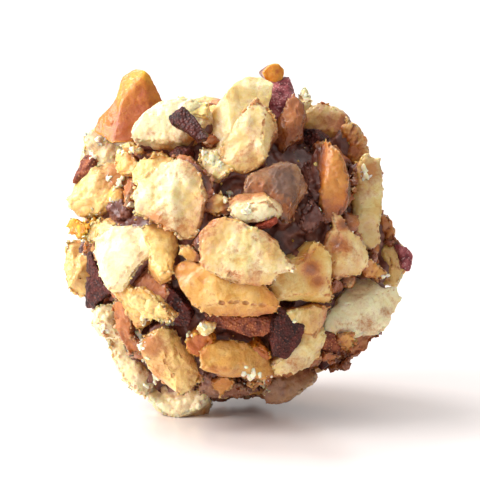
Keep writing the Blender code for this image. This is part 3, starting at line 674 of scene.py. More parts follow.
# %% Blocks of nut
chance = random.Random(8)
EYE_SIDE = 40  # mm from the ball's middle, where rays at the front start
MOST_TILT = 1.3  # the steepest that a face leans, as rise over run
RIM_TOWARDS = 0.25  # a chip at the very rim still lies this share of its radius in front of the middle
OUT_SHARE, NEAR_SHARE = 0.65, 0.35  # a chip looks out of the ball and a little to the front
BACK_SIZE = 0.88  # a block's back as a share of its face
TRIM = 1.03  # makes up for what the breaks and the knocked chips take from an outline
SPECIAL = {"purple_skin": "purple_skin", "right_tip_skin": "purple_skin"}
SMOOTH_ONES = {"dome", "golden_spire", "top_bead"}
THIN = {"top_bead": 2.6, "golden_spire": 2.4, "purple_skin": 2.6}  # mm
NUT_THICKNESS, SKIN_THICKNESS = 3.0, 1.3  # mm
FRONT_BITE = 0.28  # mm, smaller than elsewhere, so that the outlines hold
# How far some faces are drawn out of the ball, in millimetres, where something would hide them otherwise.
DRAWN_OUT = {"shaded_slab": 1.0, "dotted_skin": 0.3, "purple_skin": 1.6, "top_bead": 2.6,
             "right_low_slab": 1.4, "brown_rim": 1.2, "right_shoulder": 0.3}


def fitted_face(node, corners):
    """The middle of the plane through a solid's front within an outline, and the way that it looks."""
    solid = nodes[node].data
    front = BVHTree.FromPolygons([vertex.co for vertex in solid.vertices],
                                 [polygon.vertices[:] for polygon in solid.polygons])
    middle = np.mean(corners, axis=0)
    hits = []
    for share in (0.0, 0.3, 0.55, 0.75):
        for corner in corners:
            across, above = middle + (np.array(corner) - middle) * share
            hit = front.ray_cast(in_view(across, above, EYE_SIDE), -NEAR)[0]
            if hit:
                hits.append((across - middle[0], above - middle[1], (hit - BALL_MIDDLE).dot(NEAR) / MM))
    hits = np.array(hits)
    level, sideways, upwards = np.linalg.lstsq(
        np.column_stack([np.ones(len(hits)), hits[:, :2]]), hits[:, 2], rcond=None)[0]
    steep = math.hypot(sideways, upwards)
    ease = min(1, MOST_TILT / steep) if steep else 1
    looks = (NEAR - RIGHT * sideways * ease - UP * upwards * ease).normalized()
    return in_view(middle[0], middle[1], level + DRAWN_OUT.get(node, 0)), looks


def ball_face(corners, radius):
    """The same for a piece that lies on the ball, that many millimetres from its middle."""
    across, above = np.mean(corners, axis=0)
    towards = math.sqrt(max(radius ** 2 - across ** 2 - above ** 2, (RIM_TOWARDS * radius) ** 2))
    out = RIGHT * across + UP * above + NEAR * towards
    return in_view(across, above, towards), (out.normalized() * OUT_SHARE + NEAR * NEAR_SHARE).normalized()


def on_face(corner, middle, looks):
    """The point of a face that an outline's corner shows at."""
    start = in_view(corner[0], corner[1])
    return start + NEAR * ((middle - start).dot(looks) / NEAR.dot(looks))


def block(name, face, middle, looks, thickness, ridges=(), raised=0.22, chips=8, facets=3, bite=0.42):
    """A snapped block of nut behind a face. Each ridge is a point, a way down and a fall."""
    bpy.ops.object.select_all(action="DESELECT")
    bpy.ops.mesh.primitive_circle_add(vertices=len(face), radius=MM, fill_type="NGON")
    piece = bpy.context.object
    piece.name = name
    for vertex, place in zip(piece.data.vertices, face):
        vertex.co = place
    back = -looks * thickness * MM
    bpy.ops.object.mode_set(mode="EDIT")
    bpy.ops.mesh.select_all(action="SELECT")
    bpy.ops.mesh.extrude_region_move(TRANSFORM_OT_translate={"value": back})
    bpy.ops.transform.resize(value=(BACK_SIZE,) * 3, center_override=middle + back)
    bpy.ops.mesh.select_all(action="SELECT")
    bpy.ops.mesh.normals_make_consistent(inside=False)
    bpy.ops.object.mode_set(mode="OBJECT")
    front = max(piece.data.polygons, key=lambda polygon: (polygon.center - middle).dot(looks))
    for polygon in piece.data.polygons:
        polygon.select = polygon.index == front.index
    bpy.ops.object.mode_set(mode="EDIT")
    bpy.ops.mesh.select_mode(type="FACE")
    bpy.ops.mesh.inset(thickness=raised * 1.2 * MM, depth=raised * MM)
    bpy.ops.mesh.select_mode(type="VERT")
    bpy.ops.object.mode_set(mode="OBJECT")
    top = middle + looks * raised * MM
    breaks = [(point + looks * looks.dot(top - point), down, fall) for point, down, fall in ridges]
    for _ in range(facets):
        down = Matrix.Rotation(chance.uniform(0, 2 * math.pi), 3, looks) @ looks.orthogonal().normalized()
        breaks.append((top + down * chance.uniform(0.2, 1.3) * MM, down, chance.uniform(9, 22)))
    for point, down, fall in breaks:
        down = (down - looks * down.dot(looks)).normalized()
        fall = math.radians(fall)
        break_off(piece, point, looks * math.cos(fall) + down * math.sin(fall))
    knock_chips(piece, looks, chips, bite)
    return piece


def knock_chips(piece, looks, count, bite):
    """Knocks small chips, at most that many millimetres deep, off the rim round a piece's face."""
    side = looks.orthogonal().normalized()
    for _ in range(count):
        turn = chance.uniform(0, 2 * math.pi)
        lean = math.radians(chance.uniform(5, 55))
        around = Matrix.Rotation(turn, 3, looks) @ side
        outward = around * math.cos(lean) + looks * math.sin(lean)
        reach = max(vertex.co.dot(outward) for vertex in piece.data.vertices)
        cut = reach - chance.uniform(0.08, bite) * MM
        break_off(piece, outward * cut, outward)


blocks, finish, faces = {}, {}, {}


def add_block(name, kind, corners, plane, thickness, ridges=(), **shape):
    """A block whose face and ridges are given as they show from the front."""
    middle, looks = plane
    centre = np.mean(corners, axis=0)
    face = [on_face(centre + (np.array(corner) - centre) * TRIM, middle, looks) for corner in corners]
    slopes = [(on_face((across, above), middle, looks),
               RIGHT * math.cos(math.radians(turn)) + UP * math.sin(math.radians(turn)), fall)
              for across, above, turn, fall in ridges]
    piece_name = name + "_nut" if name in nodes else name
    blocks[name] = block(piece_name, face, middle, looks, thickness, slopes, **shape)
    finish[name], faces[name] = kind, (middle, looks)


for node_name, (corners, ridges) in SHARDS.items():
    thickness = SKIN_THICKNESS if finish_of[node_name] == "nut_skin" else NUT_THICKNESS
    smooth = {"facets": 0, "chips": 2} if node_name in SMOOTH_ONES else {}
    add_block(node_name, SPECIAL.get(node_name, finish_of[node_name]), corners,
              fitted_face(node_name, corners), THIN.get(node_name, thickness), ridges,
              bite=FRONT_BITE, **smooth)
for chip_name, (kind, radius, thickness, corners) in CHIPS.items():
    add_block(chip_name, kind, corners, ball_face(corners, radius), thickness, raised=0.15, chips=4, facets=1)
print(len(blocks), "blocks in front")

# %% [markdown]
# ## Blocks on the sides and the back
#
# The rest of the ball is covered with the same kind of pieces. Their outlines are drawn by chance, long or
# broad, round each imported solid's own middle.

# %% Blocks on the sides and the back
SUNK_FACE = 1.2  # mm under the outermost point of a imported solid


def chance_block(name, kind, spot, length, width, thickness, **shape):
    """A block with an outline drawn by chance, whose face lies across the ball at that spot."""
    looks = (spot - BALL_MIDDLE).normalized()
    looks = (looks + Vector([chance.uniform(-0.14, 0.14) for _ in range(3)])).normalized()
    along = Matrix.Rotation(chance.uniform(0, 2 * math.pi), 3, looks) @ looks.orthogonal().normalized()
    aside = looks.cross(along)
    count = chance.randint(7, 11)
    face = []
    for corner in range(count):
        turn = 2 * math.pi * (corner + chance.uniform(-0.3, 0.3)) / count
        reach = chance.uniform(0.8, 1.15) / 2 * MM
        face.append(spot + along * math.cos(turn) * length * reach + aside * math.sin(turn) * width * reach)
    slopes = []
    for _ in range(chance.randint(1, 3)):
        down = Matrix.Rotation(chance.uniform(0, 2 * math.pi), 3, looks) @ along
        slopes.append((spot + down * chance.uniform(0.1, 0.28) * width * MM, down, chance.uniform(24, 46)))
    piece_name = name + "_nut" if name in nodes else name
    blocks[name] = block(piece_name, face, spot, looks, thickness, slopes, **shape)
    finish[name], faces[name] = kind, (spot, looks)


for node_name in sorted(set(nodes) - set(SHARDS) - {"chocolate_ball"}):
    points = [vertex.co for vertex in nodes[node_name].data.vertices]
    centre = sum(points, Vector()) / len(points)
    out = (centre - BALL_MIDDLE).normalized()
    height = max((point - BALL_MIDDLE).dot(out) for point in points)
    size = max((one - other).length for one in points for other in points) / MM
    chance_block(node_name, finish_of[node_name], BALL_MIDDLE + out * (height - SUNK_FACE * MM), size * 1.1,
                 size * 0.8, NUT_THICKNESS)
print(len(blocks), "blocks")

# %% [markdown]
# ## Chips in the gaps
#
# The gaps that are left are found one after another, the widest first, and each gets a chip of its size.
# They are looked for at spots spread evenly over a ball. A few hollows in front stay open, so that the
# chocolate shows.

# %% Fill the gaps
GAP_CHIPS = 160
SPOTS = 2400
SPOT_LEVEL = 15.2  # mm from the ball's middle
OUTSIDE = 25  # mm from the ball's middle, beyond every piece
COVERED_LEVEL = 14.3  # mm: a block that reaches farther out covers the spot under it
CLEAR_OF_FLOOR = 1.2  # mm
RIM_BAND = -0.2  # no chips go just behind the outline that shows from the front, down to this cosine
LEAST_ROOM, LEAST_GAP = 0.3, 0.45  # mm to the nearest block, for a spot to count and to be filled
KINDS = ["amber_nut", "golden_nut", "ivory_nut", "golden_nut", "amber_nut", "ivory_nut", "nut_skin",
         "golden_nut", "fibrous_skin"]
# Hollows that stay open in front, where the chocolate shows: across, above and radius in millimetres.
LEFT_OPEN = ((5.8, 10.2, 3.2), (0.0, 6.9, 1.7), (6.3, 1.4, 2.8), (-10.6, 3.9, 2.0), (-5.0, -6.9, 1.6))
block_tree = tree_of(*blocks.values())


def room_at(spot, out):
    """How far a spot is from the nearest block, or 0 where a block covers it."""
    hit = block_tree.ray_cast(BALL_MIDDLE + out * OUTSIDE * MM, -out)[0]
    if hit and (hit - BALL_MIDDLE).length > COVERED_LEVEL * MM:
        return 0.0
    return block_tree.find_nearest(spot)[3] / MM


open_spots = []
for number in range(SPOTS):
    rise = 1 - (number + 0.5) / (SPOTS / 2)
    turn = number * math.pi * (3 - math.sqrt(5))
    flat = math.sqrt(1 - rise * rise)
    out = Vector((flat * math.cos(turn), flat * math.sin(turn), rise))
    spot = BALL_MIDDLE + out * SPOT_LEVEL * MM
    seen = ((spot - BALL_MIDDLE).dot(RIGHT) / MM, (spot - BALL_MIDDLE).dot(UP) / MM)
    in_front = out.dot(NEAR) > 0
    if spot.z < CLEAR_OF_FLOOR * MM or RIM_BAND < out.dot(NEAR) < 0:
        continue
    if in_front and any(math.dist(seen, (across, above)) < radius for across, above, radius in LEFT_OPEN):
        continue
    room = room_at(spot, out)
    if room > LEAST_ROOM:
        open_spots.append([room, spot, in_front])
for number in range(GAP_CHIPS):
    room, spot, in_front = max(open_spots, key=lambda row: row[0])
    if room < LEAST_GAP:
        break
    size = min(room * chance.uniform(1.5, 2.1) + 0.5, 2.2 if in_front else 4.5)
    kind = "amber_nut" if in_front and chance.random() < 0.4 else KINDS[chance.randrange(len(KINDS))]
    sunk = chance.uniform(-0.8, 0.0) if in_front else chance.uniform(-0.6, 0.4)
    chance_block(f"gap_chip_{number + 1:03d}", kind, spot + (spot - BALL_MIDDLE).normalized() * sunk * MM,
                 size * chance.uniform(1.0, 1.5), size * chance.uniform(0.7, 1.0), 1.6, raised=0.15, facets=1,
                 chips=4)
    for row in open_spots:
        row[0] = min(row[0], (row[1] - spot).length / MM - size * 0.4)
print(len(blocks), "blocks with the gaps filled, widest gap left", round(room, 2), "mm")

# %% [markdown]
# ## The chocolate
#
# Soft chocolate climbs a little way up every nut that is pushed into it. A ball cut by hollows would look
# machined, so the ball is joined with copies of the nuts, each drawn in towards the middle, and the whole
# is given one skin and smoothed. Smoothing pulls the skin off the tops of the nuts and leaves it hanging
# between them in fillets. The papery skins and the two pieces that stand up on their own get none.

# %% Draw the chocolate up round the nuts
DRAWN_IN = 0.93
CHOCOLATE_FACES = 0.26  # mm


def towards_middle(share):
    """Shrinks about the middle of the ball."""
    return Matrix.Translation(BALL_MIDDLE) @ Matrix.Scale(share, 4) @ Matrix.Translation(-BALL_MIDDLE)


bpy.ops.object.select_all(action="DESELECT")
bpy.ops.mesh.primitive_ico_sphere_add(subdivisions=5, radius=BALL_RADIUS - 0.3 * MM, location=BALL_MIDDLE)
chocolate = bpy.context.object
chocolate.name = "soft_chocolate"
bpy.ops.object.transform_apply(location=True, rotation=True, scale=True)
collars = []
for name, piece in blocks.items():
    if finish[name] in SKINS or name in ("golden_spire", "top_bead"):
        continue
    collar = link("collar", piece.data.copy())
    collar.data.transform(towards_middle(DRAWN_IN))
    collars.append(collar)
alone(chocolate)
for collar in collars:
    collar.select_set(True)
bpy.ops.object.join()
skin_over(chocolate, CHOCOLATE_FACES, 8)
push(chocolate, relief("lumps", "CLOUDS", 1.8, noise_depth=2), 0.8)
push(chocolate, relief("air bubbles", "VORONOI", 1.1, distance_metric="DISTANCE"), -0.4, 0.2)
apply_all(chocolate)
chocolate.data.materials.append(materials["milk_chocolate"])
chocolate_tree = tree_of(chocolate)
print("chocolate", len(chocolate.data.polygons), "faces")

# %% [markdown]
# ## Nut flesh under the knife
#
# A snapped face is nearly smooth, with a slow swell and shallow scallops. Its rim is not: it crumbles into
# small bites. So each block gets an even skin of small faces, the sharpness of every point is measured, and
# the bites are pushed in only where the piece is sharp. Papery skins get wrinkles all over instead, and a
# few whole kernels stay smooth. What would dip under the surface that the truffle stands on is sliced off
# level with it.

# %% Shape every nut
SKIN_FACES = 0.13  # mm
BACK_COARSER = 1.4  # the nuts at the back have faces that much larger
FAN_FROM = (-5.9, 8.3)  # mm right of and above the ball's middle
TORN = 0.25  # mm, for pieces that RAGGED does not name
# Pieces that light glows through, which wear the painted glow and rim light.
GLOWING = {"golden_spire", "top_bead", "yellow_bead", "orange_small", "orange_low"}
# Pieces that look different from the roast of their kind.
WEARS = {
    "brown_left_gap": "milk_chocolate", "coated_chip": "milk_chocolate", "coated_strip": "milk_chocolate",
    # low_front, base_nut and low_right sit under the ball: their greyed kernel is painted shade.
    "shaded_slab": "filmed_and_shaded_nut", "right_shoulder": "ivory_nut", "low_front": "filmed_and_shaded_nut",
    "base_nut": "filmed_and_shaded_nut", "low_right": "filmed_and_shaded_nut", "left_low": "ivory_nut", "left_foot": "ivory_nut",
    "golden_low": "golden_nut", "right_amber": "golden_nut", "brown_rim": "golden_nut",
    "stained_plate": "ivory_nut", "amber_upper_left": "golden_nut",
}
# How deep the torn flakes of some pieces go, in millimetres: deep on crumbly ones and shallow on smooth ones.
RAGGED = {
    "ragged_flake": 0.9, "left_shoulder": 0.5, "left_rim_high": 0.45, "left_rim_low": 0.4, "left_low": 0.4,
    "coated_chip": 0.9, "coated_strip": 0.8, "brown_left_gap": 0.6, "lower_right_brown": 0.8,
    "brown_rim": 0.9, "crumbly_bit": 0.6, "crumbly_brown": 1.1, "right_brown": 0.8,
    "left_bottom_long": 0.35, "left_foot": 0.4, "little_rim": 0.6, "amber_upper_left": 0.6,
    "yellow_bead": 0.7, "golden_low": 0.3, "right_shoulder": 0.12, "long_slab": 0.1, "lower_slab": 0.1,
    "low_crescent": 0.12, "jagged_chip": 0.15, "stained_plate": 0.08, "right_flake": 0.1, "crescent": 0.12,
    "left_block": 0.12, "right_low_slab": 0.15, "right_long": 0.15, "bit_on_shoulder": 0.08,
    "orange_wall": 0.7, "frosty_low": 0.8, "torn_flake": 0.5, "beige_gap": 0.7, "low_front": 0.8,
    "base_nut": 0.8, "orange_small": 0.7, "low_brown_gold": 0.7,
}


def neighbour_mean(piece, values):
    """The mean over each point's neighbours of some values."""
    edges = np.empty(len(piece.data.edges) * 2, np.int32)
    piece.data.edges.foreach_get("vertices", edges)
    one, other = edges.reshape(-1, 2).T
    size = len(values)
    count = np.bincount(edges, minlength=size).clip(1)
    sums = [np.bincount(one, column[other], size) + np.bincount(other, column[one], size)
            for column in values.reshape(size, -1).T]
    return (np.column_stack(sums) / count[:, None]).reshape(values.shape)


def points_of(piece):
    """Where a piece's points are, one row for each."""
    points = np.empty(len(piece.data.vertices) * 3, np.float32)
    piece.data.vertices.foreach_get("co", points)
    return points.reshape(-1, 3).astype(float)


def normals_of(piece):
    """Which way a piece's surface looks at each of its points."""
    normals = np.empty(len(piece.data.vertices) * 3, np.float32)
    piece.data.vertex_normals.foreach_get("vector", normals)
    return normals.reshape(-1, 3).astype(float)


def bulge(piece, faces_across):
    """How far each point stands out of its neighbours, as a share of the faces' size, below 0 in a hollow."""
    points = points_of(piece)
    pull = np.einsum("ij,ij->i", points - neighbour_mean(piece, points), normals_of(piece))
    for _ in range(2):
        pull = 0.5 * pull + 0.5 * neighbour_mean(piece, pull)
    return pull / MM / faces_across


def store(piece, name, values):
    """Keeps one number for each point of a piece, for its material to read."""
    kept = piece.data.attributes.new(name, "FLOAT", "POINT")
    kept.data.foreach_set("value", np.asarray(values, np.float32))


def weigh(piece, name, weights):
    """Makes a vertex group of some weights, in tenths."""
    group = piece.vertex_groups.new(name=name)
    tenths = np.round(weights * 10).astype(int)
    for tenth in range(1, 11):
        group.add(np.flatnonzero(tenths == tenth).tolist(), tenth / 10, "REPLACE")


def fan_ridges(piece):
    """Raises the ribs that fan out from where the flake was snapped off its kernel."""
    points = points_of(piece)
    apart = points - np.array(in_view(*FAN_FROM))
    across, above = apart @ np.array(RIGHT) / MM, apart @ np.array(UP) / MM
    fade = np.clip(np.hypot(across, above) / 4 - 0.3, 0, 1)
    turn = np.arctan2(above, across)
    rib = np.cos(turn * 8) * 0.16 + np.cos(turn * 17 + 1) * 0.06
    points += np.array(NEAR) * (rib * fade * MM)[:, None]
    piece.data.vertices.foreach_set("co", points.astype(np.float32).ravel())


nuts, face_sizes = {}, {}
for name, nut in blocks.items():
    is_skin = finish[name] in SKINS
    faces_across = SKIN_FACES * (1 if faces[name][1].dot(NEAR) > -0.1 else BACK_COARSER)
    skin_over(nut, faces_across, 12 if name in SMOOTH_ONES else 1)
    apply_all(nut)
    edge = np.clip((bulge(nut, faces_across) - 0.02) / 0.08, 0, 1)
    edge = np.clip(1.3 * neighbour_mean(nut, edge), edge, 1)
    face_sizes[name] = faces_across
    weigh(nut, "rim", edge)
    store(nut, "edge", edge)
    if is_skin:
        push(nut, wrinkle, 0.35)
        push(nut, crumble, 0.14)
    else:
        if name not in SMOOTH_ONES:
            push(nut, tear, RAGGED.get(name, TORN), 0.4)
            push(nut, nibble, 1.15, 0.62, "rim")
            push(nut, scallop, -0.4, 0.35)
            lay = push(nut, layers, 0.22)
            lay.texture_coords, lay.texture_coords_object = "OBJECT", grain_way
            push(nut, crumble, 0.13)
        else:
            push(nut, tear, 0.16, 0.4)
            push(nut, crumble, 0.08)
        push(nut, swell, 0.3)
    grain_way.rotation_euler = [chance.uniform(0, 6.3) for _ in range(3)]
    bpy.context.view_layer.update()
    apply_all(nut)
    if name == "shell_flake":
        fan_ridges(nut)
    if min(vertex.co.z for vertex in nut.data.vertices) < 0:
        break_off(nut, (0, 0, 0), (0, 0, -1))
    nut.data.materials.append(sunlit if name in GLOWING else materials[WEARS.get(name, finish[name])])
    nuts[name] = nut
bpy.data.objects.remove(grain_way)
print(len(nuts), "nuts,", sum(len(nut.data.polygons) for nut in nuts.values()), "faces")

# %% [markdown]
# ## How wet, how shaded and how toasted each point is
#
# Chocolate leaves a brown tide line on every nut. For each point of a nut, the distance to the chocolate's
# skin says how wetted it is: fully at the skin, and not at all a millimetre and a half away. The same brown
# is painted on as shade: on the sides of a nut behind its face, in its hollows, more towards the right side,
# which is turned from the light, and in a few listed patches. Each nut also has a tone of its own, since no
# two come out of the pan the same, and a few have a browned patch.

# %% Store glaze and painted shade, toast and tone on the nuts
WET_REACH = 1.5  # mm
WALL_DEPTH = 2.0  # mm behind the face, where the sides are fully glazed
CUBE = 0.3  # mm
BORDER_ROUNDS, WET_ROUNDS = 18, 3
# How strongly the hollows get the brown film, as painted shade.
HOLLOW_PAINTED_SHADE = 0.42
# How much of the glaze and painted shade shows, where it isn't all of it.
WET_AND_SHADE_SHARE = {
    "left_rim_low": 0.45, "left_low": 0.3, "left_shoulder": 0.4, "left_foot": 0.45, "left_rim_high": 0.5,
    "left_bottom_long": 0.3, "top_slab": 0.35, "right_amber": 0.2, "brown_rim": 0.5, "right_shoulder": 0.45,
    "yellow_bead": 0.3, "golden_spire": 0.6, "golden_low": 0.45, "right_low_slab": 0.25, "low_front": 0.9,
    "base_nut": 0.9, "brown_side": 1.2, "amber_upper_left": 0.7, "left_block": 0.65, "long_slab": 0.55,
    "middle_flake": 0.8, "shaded_slab": 0.35, "orange_small": 0.4, "orange_low": 0.5, "stained_plate": 0.25,
    "standing_flake": 0.65, "right_long": 0.45, "amber_wedge": 0.6, "red_edged_chip": 0.5,
    "lower_right_brown": 0.5, "lower_slab": 0.6, "left_small_block": 0.5, "shell_flake": 0.6,
    "ragged_flake": 0.5, "torn_flake": 0.4, "right_flake": 0.7, "low_crescent": 0.5, "crumbly_bit": 0.4,
    "beige_gap": 0.6, "gold_lobe": 0.5, "top_behind": 0.3, "low_right": 0.5, "bit_on_shoulder": 0.3,
    "crumbly_brown": 0.6, "right_brown": 0.3, "crescent": 0.95, "dome": 0.45,
}
# Lighter above zero, darker below.
TONES = {
    "left_block": 0.25, "shell_flake": 0.12, "top_slab": 0.22, "dome": 0.08, "standing_flake": 0.08,
    "middle_flake": 0.06, "stained_plate": -0.08, "shaded_slab": 0.02, "red_edged_chip": 0.25,
    "right_low_slab": 0.2, "right_shoulder": 0.05, "left_rim_high": 0.28, "left_shoulder": 0.3,
    "left_low": 0.28, "left_bottom_long": 0.25, "golden_low": 0.32, "fibrous_brown": 0.1,
    "crumbly_brown": 0.15, "brown_rim": 0.2, "low_right": 0.1, "left_rim_low": 0.28, "left_foot": 0.2,
    "right_amber": 0.15, "low_front": 0.05, "lower_slab": 0.05, "right_long": 0.08, "crescent": -0.16,
    "long_slab": 0.04, "left_small_block": 0.1, "ragged_flake": 0.12, "right_brown": 0.15,
    "yellow_bead": 0.1, "top_behind": 0.3, "gold_lobe": 0.1,
}
# The middle of each patch that the pan browned, its radius and its strength. On the golden spire and on the
# dome's right side the patches are painted shade instead.
TOAST_AND_SHADE_PATCHES = {
    "top_slab": [(-6.4, 9.9, 1.3, 0.9), (-4.4, 10.6, 1.5, 0.9), (-3.2, 13.4, 0.9, 0.5)],
    "right_low_slab": [(15.1, -5.9, 0.7, 0.8), (13.2, -7.5, 1.0, 0.8), (11.0, -7.3, 0.7, 0.5)],
    "shaded_slab": [(2.6, 6.0, 1.0, 0.9), (4.0, 4.8, 1.1, 0.9), (5.2, 3.9, 1.2, 0.9)],
    "left_rim_high": [(-11.2, 7.2, 2.2, 1.0), (-10.6, 5.8, 1.2, 0.8)],
    "left_low": [(-11.4, -6.7, 1.2, 1.0)],
    "shell_flake": [(-3.2, 8.0, 1.3, 0.8), (-7.4, 3.2, 1.1, 1.1), (-4.6, 2.4, 0.9, 0.9),
        (-3.4, 5.4, 0.7, 0.5)],
    "crescent": [(10.1, 7.4, 1.1, 0.6), (10.4, 5.0, 1.0, 0.8), (9.2, 9.8, 0.8, 0.5)],
    "left_bottom_long": [(-8.7, -10.9, 1.1, 0.9), (-9.6, -9.4, 1.0, 0.9)],
    "golden_low": [(-8.0, -9.4, 1.4, 1.2), (-7.2, -11.6, 1.0, 1.0), (-3.5, -12.1, 0.9, 0.8),
        (-3.9, -9.9, 0.6, 0.6)],
    # Painted shade and glow: the deep orange of the spire's face, turned from the light.
    "golden_spire": [(-9.0, 15.6, 1.1, 1.0), (-9.3, 13.6, 1.9, 1.2), (-10.0, 12.0, 2.4, 1.3)],
    "top_bead": [(4.4, 17.8, 0.3, 0.8)],
    "standing_flake": [(0.8, 9.0, 1.2, 0.5), (1.9, 8.5, 0.8, 0.6)],
    "right_flake": [(10.6, -0.2, 1.1, 0.6)],
    "right_long": [(13.4, 8.0, 1.5, 1.0), (12.6, 6.4, 1.1, 0.8)],
    "orange_small": [(-3.4, -9.2, 2.0, 1.0)],
    "orange_low": [(2.6, -10.4, 2.0, 1.0)],
    "middle_flake": [(-0.6, -0.4, 0.8, 0.45), (2.0, -2.6, 1.2, 0.5), (-2.5, 1.8, 1.0, 0.5),
        (3.6, 1.2, 1.0, 0.5)],
    "left_block": [(-12.2, 1.0, 0.7, 0.4)],
    "left_rim_low": [(-15.6, -0.2, 0.8, 0.5)],
    "long_slab": [(4.2, -5.0, 1.2, 0.6), (0.0, -6.4, 1.4, 0.5), (3.0, -6.4, 1.4, 0.6)],
    "lower_slab": [(3.0, -10.8, 0.9, 0.5), (0.0, -12.0, 1.4, 0.5)],
    "low_crescent": [(6.4, -11.4, 1.2, 0.6), (8.6, -9.8, 0.8, 0.5)],
    # Painted shade on the dome's right side.
    "dome": [(3.2, 13.6, 1.0, 0.4)],
    "right_shoulder": [(8.6, 14.2, 0.8, 0.5), (11.0, 12.0, 1.6, 0.8)],
    "brown_rim": [(12.0, 10.5, 3.0, 0.85)],
}
# The same for where chocolate smeared over a face. On the dome, the middle flake and the two pieces under the
# ball the patches are painted shade.
SMEAR_AND_SHADE_PATCHES = {
    "right_shoulder": [(11.4, 12.8, 1.1, 0.7), (11.2, 11.2, 1.2, 0.7), (7.2, 13.0, 0.8, 0.5)],
    "top_slab": [(-3.6, 10.8, 0.9, 0.4)],
    "shell_flake": [(-3.1, 5.2, 0.9, 0.35), (-4.4, 8.4, 0.9, 0.3)],
    # Painted shade on the dome's right side.
    "dome": [(3.0, 14.4, 1.0, 0.3)],
    "stained_plate": [(7.1, -0.5, 0.9, 0.5), (7.6, -1.7, 1.1, 0.65), (8.2, -2.9, 0.9, 0.6)],
    # Painted shade on the middle flake, most on its right.
    "middle_flake": [(3.8, 0.0, 1.3, 0.35), (-2.8, 0.6, 1.0, 0.3), (0.6, -2.8, 1.2, 0.3)],
    "right_flake": [(10.2, 0.7, 1.3, 0.6), (10.8, 2.6, 0.9, 0.6)],
    "lower_right_brown": [(9.4, -10.4, 1.4, 0.6), (9.0, -9.0, 1.0, 0.6)],
    # Painted shade under the ball on the next two.
    "low_front": [(0.0, -14.0, 3.0, 0.4)],
    "base_nut": [(0.0, -15.0, 3.0, 0.4)],
    "golden_spire": [(-9.0, 12.2, 1.1, 0.5)],
    "long_slab": [(3.6, -4.2, 0.7, 0.4)],
    "amber_wedge": [(5.6, 11.6, 1.3, 0.4)],
    "crescent": [(8.8, 4.8, 0.8, 0.5), (9.8, 3.9, 0.8, 0.5)],
}


def wetness_of(points):
    """How near the chocolate each point is, from 1 at it to 0, measured once for each small cube of space."""
    cubes, where = np.unique(np.round(points / (CUBE * MM)).astype(int), axis=0, return_inverse=True)
    near = np.array([chocolate_tree.find_nearest(Vector(cube * CUBE * MM))[3] for cube in cubes])
    return 1 - np.clip(near[where.ravel()] / (WET_REACH * MM), 0, 1)


def patches_on(points, patches):
    """How much of round patches, given by middle, radius and strength, falls on each point."""
    most = np.zeros(len(points))
    for across, above, radius, strength in patches:
        apart = points - np.array(in_view(across, above))
        flat = np.hypot(apart @ np.array(RIGHT), apart @ np.array(UP)) / MM
        most = np.maximum(most, strength * np.clip(1.15 - flat / (1.5 * radius), 0, 1))
    return most


for name, nut in nuts.items():
    points = points_of(nut)
    middle, looks = faces[name]
    depth = (np.array(middle + looks * 0.3 * MM) - points) @ np.array(looks) / MM
    wall = np.clip(depth / WALL_DEPTH, 0, 1)
    border, wet = wall, wetness_of(points)
    for _ in range(BORDER_ROUNDS):
        border = neighbour_mean(nut, border)
    for _ in range(WET_ROUNDS):
        wet = neighbour_mean(nut, wet)
    # The brown film is the chocolate's stain near it, and painted shade on the sides behind the face and in
    # hollows.
    glaze_and_shade = np.maximum(0.55 * wall + 0.45 * border, 1.1 * wet ** 1.3) * WET_AND_SHADE_SHARE.get(name, 1)
    hollow = np.clip((-bulge(nut, face_sizes[name]) - 0.015) / 0.1, 0, 1)
    glaze_and_shade = np.maximum(glaze_and_shade, HOLLOW_PAINTED_SHADE * hollow)
    # Painted shade: the brown film grows towards the right side, which is turned from the light.
    glaze_and_shade = glaze_and_shade * np.interp(points[:, 0] / MM, (-14, 2, 12), (0.65, 0.95, 1.15))
    glaze_and_shade = np.maximum(glaze_and_shade, patches_on(points, SMEAR_AND_SHADE_PATCHES.get(name, ())))
    store(nut, "glaze_and_shade", np.clip(glaze_and_shade, 0, 1))
    store(nut, "tone", np.full(len(points), TONES.get(name, 0) + chance.uniform(-0.06, 0.06)))
    store(nut, "toast_and_shade", patches_on(points, TOAST_AND_SHADE_PATCHES.get(name, ())))
print("glaze, tone and toast stored on", len(nuts), "nuts")

# %% [markdown]
# ## Crumbs and nut dust
#
# Chopping leaves dust, and the soft chocolate and the oily rims of the nuts pick it up. A crumb is a ball
# of twenty faces with its corners knocked about. Six are made that way, and more than a thousand copies of
# them are turned, scaled and set half into the surface where dust catches: along sharp rims, in a few
# drifts, and on the chocolate.

# %% Model six crumbs


def knocked_crumb():
    """The points and faces of one crumb, about as big across as 1 unit."""
    bpy.ops.object.select_all(action="DESELECT")
    bpy.ops.mesh.primitive_ico_sphere_add(subdivisions=1, radius=0.5)
    crumb = bpy.context.object
    for vertex in crumb.data.vertices:
        vertex.co *= chance.uniform(0.45, 1.35)
    shape = [vertex.co.copy() for vertex in crumb.data.vertices]
    faces = [polygon.vertices[:] for polygon in crumb.data.polygons]
    bpy.data.objects.remove(crumb)
    return np.array(shape), np.array(faces)


CRUMBS = [knocked_crumb() for _ in range(6)]
print(len(CRUMBS), "crumbs of", len(CRUMBS[0][1]), "faces")


